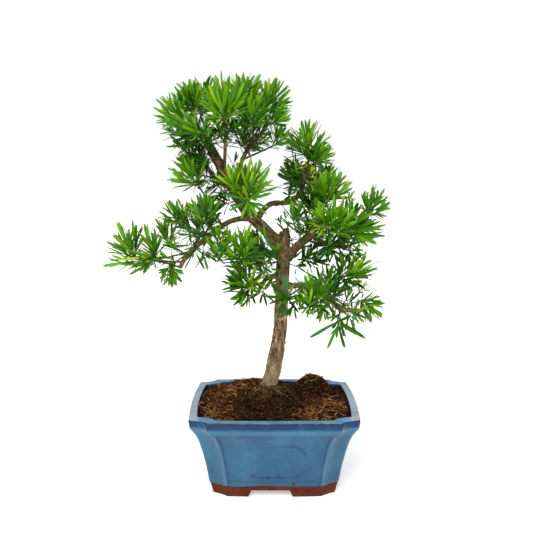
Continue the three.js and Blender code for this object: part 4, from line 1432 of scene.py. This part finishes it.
# Young sprigs beside the masses: foot, tip, how many leaves, their length, tone and piece
sprigs = [
    ((7, 10, 287), (5, 6, 293), 9, 12, "young", "lowLeftLeaves"),
    ((-60, -10, 306), (-58, -22, 314), 9, 14, "young", "armLeaves"),
    ((41, 22, 378), (45, 14, 386), 10, 14, "yellow", "rightLeaves"),
    ((38, 24, 384), (33, 14, 392), 8, 12, "yellow", "rightLeaves"),
    ((40, 24, 370), (50, 14, 374), 8, 15, "yellow", "rightLeaves"),
    ((84, 4, 340), (91, -8, 356), 9, 14, "young", "rightLeaves"),
    ((-22, -4, 250), (-31, -22, 258), 9, 13, "young", "lowLeftLeaves"),
    ((54, 2, 326), (57, -30, 322), 9, 15, "yellow", "rightLeaves"),
    ((98, -10, 236), (106, -16, 248), 9, 14, "young", "lowRightLeaves"),
    ((-30, 22, 424), (-22, 12, 440), 9, 13, "green", "crownLeaves"),
    ((-33, 22, 418), (-12, 6, 424), 10, 15, "green", "crownLeaves"),
    ((-88, 10, 410), (-98, -14, 428), 10, 18, "dark", "crownLeaves"),
    ((-80, 12, 392), (-84, -6, 402), 9, 18, "dark", "crownLeaves"),
    ((60, 8, 302), (66, -12, 296), 9, 17, "dark", "rightLeaves"),
    ((-97, 8, 428), (-118, 2, 433), 10, 20, "dark", "crownLeaves"),
    ((-90, 6, 414), (-112, 0, 418), 10, 19, "dark", "crownLeaves"),
    ((46, 4, 244), (36, -22, 236), 10, 24, "green", "lowRightLeaves"),
    ((66, -4, 233), (60, -20, 224), 9, 22, "green", "lowRightLeaves"),
    ((90, -10, 220), (92, -18, 212), 9, 20, "green", "lowRightLeaves"),
    ((-21, -2, 239), (-34, -14, 233), 8, 20, "dark", "lowLeftLeaves"),
    ((-55, 15, 376), (-73, 4, 369), 12, 22, "dark", "crownLeaves"),
    ((-50, 14, 368), (-68, 2, 358), 12, 22, "dark", "crownLeaves"),
    ((-44, 14, 355), (-60, 2, 349), 11, 20, "dark", "armLeaves"),
    ((-60, 16, 384), (-84, 8, 376), 11, 20, "dark", "crownLeaves"),
    ((26, 14, 292), (6, 10, 328), 12, 13, "green", "rightLeaves"),
    ((26, 14, 292), (14, 6, 334), 12, 13, "young", "rightLeaves"),
    ((18, 14, 274), (31, 4, 271), 9, 17, "green", "rightLeaves"),
    ((36, 8, 245), (22, -26, 226), 9, 24, "dark", "lowRightLeaves"),
    ((-106, -10, 287), (-120, -16, 298), 10, 18, "green", "armLeaves"),
    ((-112, -11, 278), (-128, -18, 286), 10, 18, "green", "armLeaves"),
    ((-21, -8, 275), (-46, -22, 276), 11, 22, "green", "lowLeftLeaves"),
]

growth = {
    "seed": 400,
    "reachScale": 1.15,
    "overReach": 1.08,
    "spread": 0.95,
    "shortestShoot": 12,
    "heartDepth": 0.72,
    "starDepth": 0.3,
    "budSpacing": 6,
    "stemRadius": 1.35,
    "shootRadius": 0.9,
    "tipRadius": 0.6,
    "lift": 0.25,
    "shootShare": 0.75,
    "leavesPerShoot": 17,
    "stemLeafSpacing": 6,
    "stemLeafLength": 20,
    "twigRun": (10, 26),
    "twigLeaf": (14, 25),
    "twigLeaves": 8,
    "leafLength": 35,
    "smallLeaf": 0.62,
    "leafShare": 0.72,
    "leafWidth": 4.1,
    "steepAngle": 0.2,
    "flatAngle": 1.0,
    "starAngle": 1.4,
    "clearOfLimb": 0.3,
    "clearOfSpace": -0.55,
    "clearOfBox": 1.2,
    "clearOfLeaf": 1.2,
    "turnsToTry": (0, 0.4, -0.4, 0.8, -0.8),
    "lengthsToTry": (1, 0.82, 0.66),
    "keel": 0.42,
    "keelThinning": 0.22,
    "toLight": 0.35,  # how much a leaf's upper side turns to the light
}
leafProbe = np.array([[0.35], [0.6], [0.85], [1.0]])  # the shares of a leaf that have to be clear

# Along a leaf: where each ring stands, its share of the width, and how far its edges stand up
leafStations = [(0.0, 0.2, 0.0), (0.1, 0.3, 0.05), (0.28, 0.72, 0.1), (0.5, 0.96, 0.12),
                (0.72, 1.0, 0.12), (0.88, 0.8, 0.1), (0.97, 0.46, 0.06)]

# Leaf colours; a tone gives those of its youngest, middle and oldest leaves.
# The bright and dark tones stand for painted light and shade: bright on top and in front, dark behind, under
# and inside the foliage.
leafColours = {"leafNew": (158, 196, 28), "leafBright": (104, 167, 10), "leafGreen": (66, 132, 5),
               "leafDark": (39, 89, 4), "leafDeep": (20, 51, 3), "leafPale": (100, 156, 42),
               "leafFaded": (188, 178, 48), "leafWarm": (116, 152, 6), "leafSheen": (58, 116, 50)}
toneRows = {"bright": (0, 1, 1, 2), "green": (1, 2, 2, 3), "dark": (2, 3, 3, 4), "young": (0, 0, 1, 1),
            "yellow": (0, 6, 0, 1)}
underRows = np.array([5, 1, 2, 3, 3, 5, 6, 1, 2])
strayTones = {"warm": 0.13, "sheen": 0.15, "step": 0.618}

massNames = list(masses)
centres = np.array([masses[name][1] for name in massNames], float)
reaches = np.array([masses[name][2] for name in massNames], float) * growth["reachScale"]
boxLow = np.array(cadBox[0]) / mm - potMiddle + growth["clearOfBox"]
boxHigh = np.array(cadBox[1]) / mm - potMiddle - growth["clearOfBox"]


def runToEdge(index, start, direction):
    offset = (start - centres[index]) / reaches[index]
    run = direction / reaches[index]
    a, b, c = run @ run, offset @ run, offset @ offset - 1
    return (-b + math.sqrt(max(b * b - a * c, 0))) / a


def facingOf(index, budFrom):
    given = masses[massNames[index]][5:]
    return unit(given[0]) if given else unit(unit(centres[index] - budFrom) + 0.9 * upward)


# Each stem leaves its limb at the free place nearest to its mass, one bud apart.
def placeStems():
    taken = {}
    roots, hearts = [], []
    for index, name in enumerate(massNames):
        limb = masses[name][0]
        line, _ = limbLine(limbs[limb][1], 8)
        lengths = lengthsAlong(line)
        nearest = lengths[np.argmin(np.linalg.norm(line - centres[index], axis=1))]
        used = taken.setdefault(limb, [])
        free = [i for i, length in enumerate(lengths)
                if all(abs(place - length) >= growth["budSpacing"] for place in used)]
        chosen = min(free, key=lambda i: abs(lengths[i] - nearest))
        used.append(lengths[chosen])
        back = -facingOf(index, line[chosen])
        roots.append(line[chosen])
        depth = growth["starDepth"] if name in openStars else growth["heartDepth"]
        hearts.append(centres[index] + back * depth * runToEdge(index, centres[index], back))
    return np.array(roots), np.array(hearts)


stemRoots, stemHearts = placeStems()
limbStarts, limbEnds, limbRadii = [], [], []
for limbName, (_, limbPath) in limbs.items():
    limbPoints, limbThickness = limbLine(limbPath, 3)
    limbStarts.append(limbPoints[:-1])
    limbEnds.append(limbPoints[1:])
    limbRadii.append(np.maximum(limbThickness[:-1], limbThickness[1:]))
keepOffStarts = np.concatenate(limbStarts + [stemRoots])
keepOffRuns = np.concatenate(limbEnds + [stemHearts]) - keepOffStarts
keepOffRadii = np.concatenate(limbRadii + [np.full(len(stemRoots), growth["stemRadius"])])


def distancesToRuns(points, starts, runs):
    offset = points[:, None] - starts[None]
    share = np.clip(np.sum(offset * runs[None], axis=2) / np.sum(runs * runs, axis=1)[None], 0, 1)
    return np.linalg.norm(offset - share[..., None] * runs[None], axis=2)


def inBox(points):
    return ((points > boxLow) & (points < boxHigh)).all()


def clearances(points):  # from every limb and stem
    return distancesToRuns(points, keepOffStarts, keepOffRuns) - keepOffRadii[None]


# Whether points lie in their own mass's space and clear of the others', of the limbs and of the stems
def isFree(index, points, halfWidth):
    depth = np.sum(((points[:, None] - centres[None]) / reaches[None]) ** 2, axis=2)
    own = depth[:, index].copy()
    if (own > growth["overReach"]).any():
        return False
    depth[:, index] = 9
    if (depth.min(axis=1) < own + growth["clearOfSpace"]).any():
        return False
    away = clearances(points)
    away[:, len(keepOffRadii) - len(stemRoots) + index] = 9
    return (away > halfWidth + growth["clearOfLimb"]).all()


def isClear(points, halfWidth):
    return (clearances(points) > halfWidth + growth["clearOfLimb"]).all()


def rotatedAbout(vector, axis, turn):
    return (vector * math.cos(turn) + np.cross(axis, vector) * math.sin(turn)
            + axis * (axis @ vector) * (1 - math.cos(turn)))


def squareTo(axis):
    return unit(np.cross(axis, (1, 0, 0) if abs(axis[2]) > 0.9 else upward))


leafRows = []  # root, direction, upper side, length, width, bend, twist, tone row, area
shootLines, shootRadii, shootTones = [], [], []


def addShoot(start, end, startRadius, endRadius, tone, bow):
    shares = np.linspace(0, 1, 6)
    line = start + (end - start) * shares[:, None] + bow * np.sin(math.pi * shares)[:, None]
    shootLines.append(line)
    shootRadii.append(startRadius + (endRadius - startRadius) * shares)
    shootTones.append(tone)
    return line


# Leaves wind round a shoot by the golden angle, steep at its tip and flatter lower down.
def leavesOnShoot(index, line, count, angles, tone, longest, placed, random, area):
    axis = unit(line[-1] - line[-2])
    across = squareTo(axis)
    turnStart = random.uniform(0, 2 * math.pi)
    for number in range(count):
        share = number / (count - 1)
        root, _, run = pointOn(line, (1 - 0.85 * share) * (len(line) - 1))
        here = unit(axis + unit(run) * share)
        angle = angles[0] + (angles[1] - angles[0]) * share ** 0.8 + random.normal(0, 0.15)
        if share > 0.85:
            angle += random.uniform(0, 0.5)
        young = 0.76 + 0.24 * min(share / 0.25, 1)
        full = longest * young * random.uniform(0.72, 1.12)
        for turn in growth["turnsToTry"]:
            out = rotatedAbout(squareTo(here), here, turnStart + goldenAngle * number + turn)
            direction = here * math.cos(angle) + out * math.sin(angle)
            length = fittedLength(index, root, direction, full, placed)
            if length:
                break
        else:
            continue
        inner = unit(here - direction * (here @ direction))
        toLight = upward - direction * direction[2]
        upper = unit(inner + toLight * growth["toLight"] + random.normal(0, 0.2, 3))
        upper = unit(upper - direction * (upper @ direction))
        # Older leaves, lower on the shoot and deeper in the mass, take the darker colours: their own darker
        # green, and painted shade inside the mass
        age = min(int(share * 2.4 + random.normal(0, 0.7) + 0.5), 3)
        row = toneRows[tone][max(age, 0)]
        bend = random.uniform(-0.3, 0.25) + 0.35 * share * random.uniform(0.2, 1)
        slender = 0.45 + 0.55 * length / growth["leafLength"]
        width = growth["leafWidth"] * slender * random.uniform(0.85, 1.1)
        leafRows.append((root, direction, upper, length, width, bend, random.normal(0, 0.25), row, area))
        placed.append((root + direction * length * 0.35, root + direction * length))


def fittedLength(index, root, direction, full, placed):
    edge = full if index is None else runToEdge(index, root, direction)
    longest = min(max(edge, full * 0.55), full)
    for share in growth["lengthsToTry"]:
        choice = longest * share
        points = root + direction * (leafProbe * choice)
        if not inBox(points) or not (isClear(points, 1.0) if index is None else isFree(index, points, 1.0)):
            continue
        if placed:
            starts = np.array([row[0] for row in placed])
            runs = np.array([row[1] for row in placed]) - starts
            if (distancesToRuns(points[1:], starts, runs) < growth["clearOfLeaf"]).any():
                continue
        return choice
    return None


# The stem runs on as the first shoot. The others leave the same bud, lean out and turn up.
def growMass(index, area):
    name = massNames[index]
    shoots, tone = masses[name][3:5]
    random = np.random.default_rng(growth["seed"] + index)
    heart = stemHearts[index]
    axis = facingOf(index, stemRoots[index])
    small = growth["smallLeaf"] if name in smallLeaved else 1
    placed = []
    stemRun = heart - stemRoots[index]
    sag = np.cross(unit(stemRun), random.normal(0, 1, 3)) * np.linalg.norm(stemRun) * 0.05
    stem = addShoot(stemRoots[index], heart, growth["stemRadius"], growth["shootRadius"] * 1.15, 0, sag)
    turnStart = random.uniform(0, 2 * math.pi)
    lift = growth["lift"] * upward if axis[2] > 0 else 0 * upward
    angles = (growth["steepAngle"], growth["starAngle"] if name in openStars else growth["flatAngle"])
    shoots = 1 if name in openStars else max(round(shoots * growth["shootShare"]), 2)
    for number in range(shoots):
        tilt = growth["spread"] * math.sqrt(number / shoots)
        out = rotatedAbout(squareTo(axis), axis, turnStart + goldenAngle * number)
        direction = axis * math.cos(tilt) + out * math.sin(tilt)
        longest = growth["leafLength"] * small * random.uniform(0.82, 1.06)
        count = int(growth["leavesPerShoot"] * random.uniform(0.8, 1.1))
        if name in openStars:
            count, longest = openStars[name]
        reach = runToEdge(index, heart, direction) - longest * growth["leafShare"]
        run = max(reach * random.uniform(0.7, 1), growth["shortestShoot"])
        for share in (1, 0.75, 0.5):
            end = heart + direction * run * share
            if isFree(index, end[None], growth["shootRadius"]):
                break
        else:
            continue
        # Green shoots that point up are painted lighter and the others darker: painted light and shade
        shootTone = tone
        if tone == "green" and random.random() < 0.4:
            shootTone = "bright" if direction[2] > 0.1 else "dark"
        bow = (direction - unit(direction + lift)) * run * share * 0.35
        line = addShoot(heart, end, growth["shootRadius"], growth["tipRadius"], 1, bow)
        leavesOnShoot(index, line, count, angles, shootTone, longest, placed, random, area)
    stemLength = np.linalg.norm(stemRun)
    # Leaves along the stem, inside the mass, take the dark tone: painted shade
    if stemLength > 2 * growth["stemLeafSpacing"]:
        leavesOnShoot(index, stem[1:], int(stemLength / growth["stemLeafSpacing"]) + 1, (0.6, 1.0), "dark",
                      growth["stemLeafLength"], placed, random, area)


def growInnerTwigs(limb):
    area, (first, last), count = innerTwigs[limb]
    random = np.random.default_rng(growth["seed"] + 100 + list(innerTwigs).index(limb))
    line, thickness = limbLine(limbs[limb][1], 8)
    placed = []
    for number in range(count):
        place = (first + (last - first) * (number + random.uniform(0.2, 0.8)) / count) * (len(line) - 1)
        middle, low, run = pointOn(line, place)
        along = unit(run)
        out = rotatedAbout(squareTo(along), along, goldenAngle * number + random.uniform(-0.4, 0.4))
        direction = unit(along * 0.7 + out + 0.5 * upward)
        root = middle + out * thickness[low] * 0.7
        length = random.uniform(*growth["twigRun"])
        bow = random.normal(0, 0.08, 3) * length
        radius = growth["tipRadius"]
        twig = addShoot(root, root + direction * length, radius * 1.1, radius * 0.7, 1, bow)
        longest = random.uniform(*growth["twigLeaf"])
        # Most inner twigs take the dark tone: painted shade inside the crown
        tone = "dark" if random.random() < 0.65 else "green"
        leavesOnShoot(None, twig[2:], growth["twigLeaves"], (0.35, 1.15), tone, longest, placed, random, area)


def growSprigs():
    for number, (foot, tip, count, longest, tone, area) in enumerate(sprigs):
        random = np.random.default_rng(growth["seed"] + 200 + number)
        bow = random.normal(0, 0.06, 3) * math.dist(foot, tip)
        line = addShoot(np.array(foot, float), np.array(tip, float), 0.75, 0.5, 1, bow)
        leavesOnShoot(None, line[2:], count, (0.25, 1.0), tone, longest, [], random, area)


# Every leaf is one outline bent along its length; rings run root to tip.
def leafPoints(rows):
    root, direction, upper = (np.array([row[i] for row in rows]) for i in range(3))
    length, width, bend, twist = (np.array([row[i] for row in rows])[:, None] for i in range(3, 7))
    side = np.cross(direction, upper)
    bend = np.where(np.abs(bend) < 0.02, 0.02, bend)
    points = []
    for place, wide, raised in leafStations + [(1.0, 0, 0)]:
        turn = bend * place
        centre = root + length * (np.sin(turn) / bend * direction - (1 - np.cos(turn)) / bend * upper)
        normal = np.cos(turn) * upper + np.sin(turn) * direction
        roll = twist * place
        across = side * np.cos(roll) + normal * np.sin(roll)
        facing = normal * np.cos(roll) - side * np.sin(roll)
        if wide == 0:
            points.append(centre)
            continue
        half = width * wide / 2
        points.append(centre - across * half + facing * width * raised)
        points.append(centre)
        points.append(centre + across * half + facing * width * raised)
        points.append(centre - facing * (growth["keel"] - growth["keelThinning"] * place))
    return np.stack(points, axis=1)


def leafFaces():
    rings = len(leafStations)
    faces, tops, ends = [(3, 2, 1, 0)], [False], [True]
    for ring in range(rings - 1):
        for side in range(4):
            a, b = ring * 4 + side, ring * 4 + (side + 1) % 4
            faces.append((a, b, b + 4, a + 4))
            tops.append(side < 2)
            ends.append(ring < 1 or ring > 4)
    last = (rings - 1) * 4
    for side in range(4):
        faces.append((last + side, last + (side + 1) % 4, rings * 4))
        tops.append(side < 2)
        ends.append(True)
    return faces, np.array(tops), np.array(ends)


def leafFinish(name, colour):
    finish = Finish(name, 0.42, specular=0.17)
    finish.shader.inputs["Base Color"].default_value = srgb(*colour)
    return finish.material


# The foliage pieces, and how the names of each one's masses start
areas = {
    "crownLeaves": ("crown", "under_crown", "middle"),
    "armLeaves": "arm",
    "lowLeftLeaves": "low_left",
    "rightLeaves": "right",
    "lowRightLeaves": ("low_right", "hanging"),
}


def massesOf(area):
    return [name for name in massNames if name.startswith(areas[area])]


def buildFoliage():
    for area in areas:
        for name in massesOf(area):
            growMass(massNames.index(name), area)
    for limb in innerTwigs:
        growInnerTwigs(limb)
    growSprigs()
    finishes = [leafFinish(name, colour) for name, colour in leafColours.items()]
    faces, tops, ends = leafFaces()
    for area in areas:
        rows = [row for row in leafRows if row[8] == area]
        tones = np.array([row[7] for row in rows])[:, None]
        # A few leaves turn yellower than their neighbours, and on a few older ones the upper side is a cooler
        # grey-green: a painted sheen
        chance = (np.arange(len(rows)) * strayTones["step"] % 1)[:, None]
        tones = np.where((chance < strayTones["warm"]) & (tones > 0) & (tones < 3), 7, tones)
        tones = np.where((chance > 1 - strayTones["sheen"]) & (tones > 1) & (tones < 4), 8, tones)
        # The upper side near each leaf's root and tip is one tone lighter: the paler leaf base, and at the
        # tip a painted highlight
        lighter = np.where((tones > 1) & (tones < 5), tones - 1, tones)
        faceTones = np.where(tops[None], np.where(ends[None], lighter, tones), underRows[tones])
        mesh = meshFromCopies(area, leafPoints(rows), faces, faceTones)
        replaced = [f"leaves_{name}" for name in massesOf(area)]
        finishPiece(area, mesh, finishes, replaced, sharpAngle=70)
        print("foliage:", area, len(rows), "leaves")
    twigs = [plainFinish("twigBark", (112, 92, 66), (84, 66, 46), scale=260),
             plainFinish("greenShoot", (96, 122, 52), (78, 100, 42), scale=260)]
    strandPiece("leafTwigs", shootLines, np.array(shootRadii), 6, shootTones, twigs)


buildFoliage()
print("foliage: leaves and twigs")
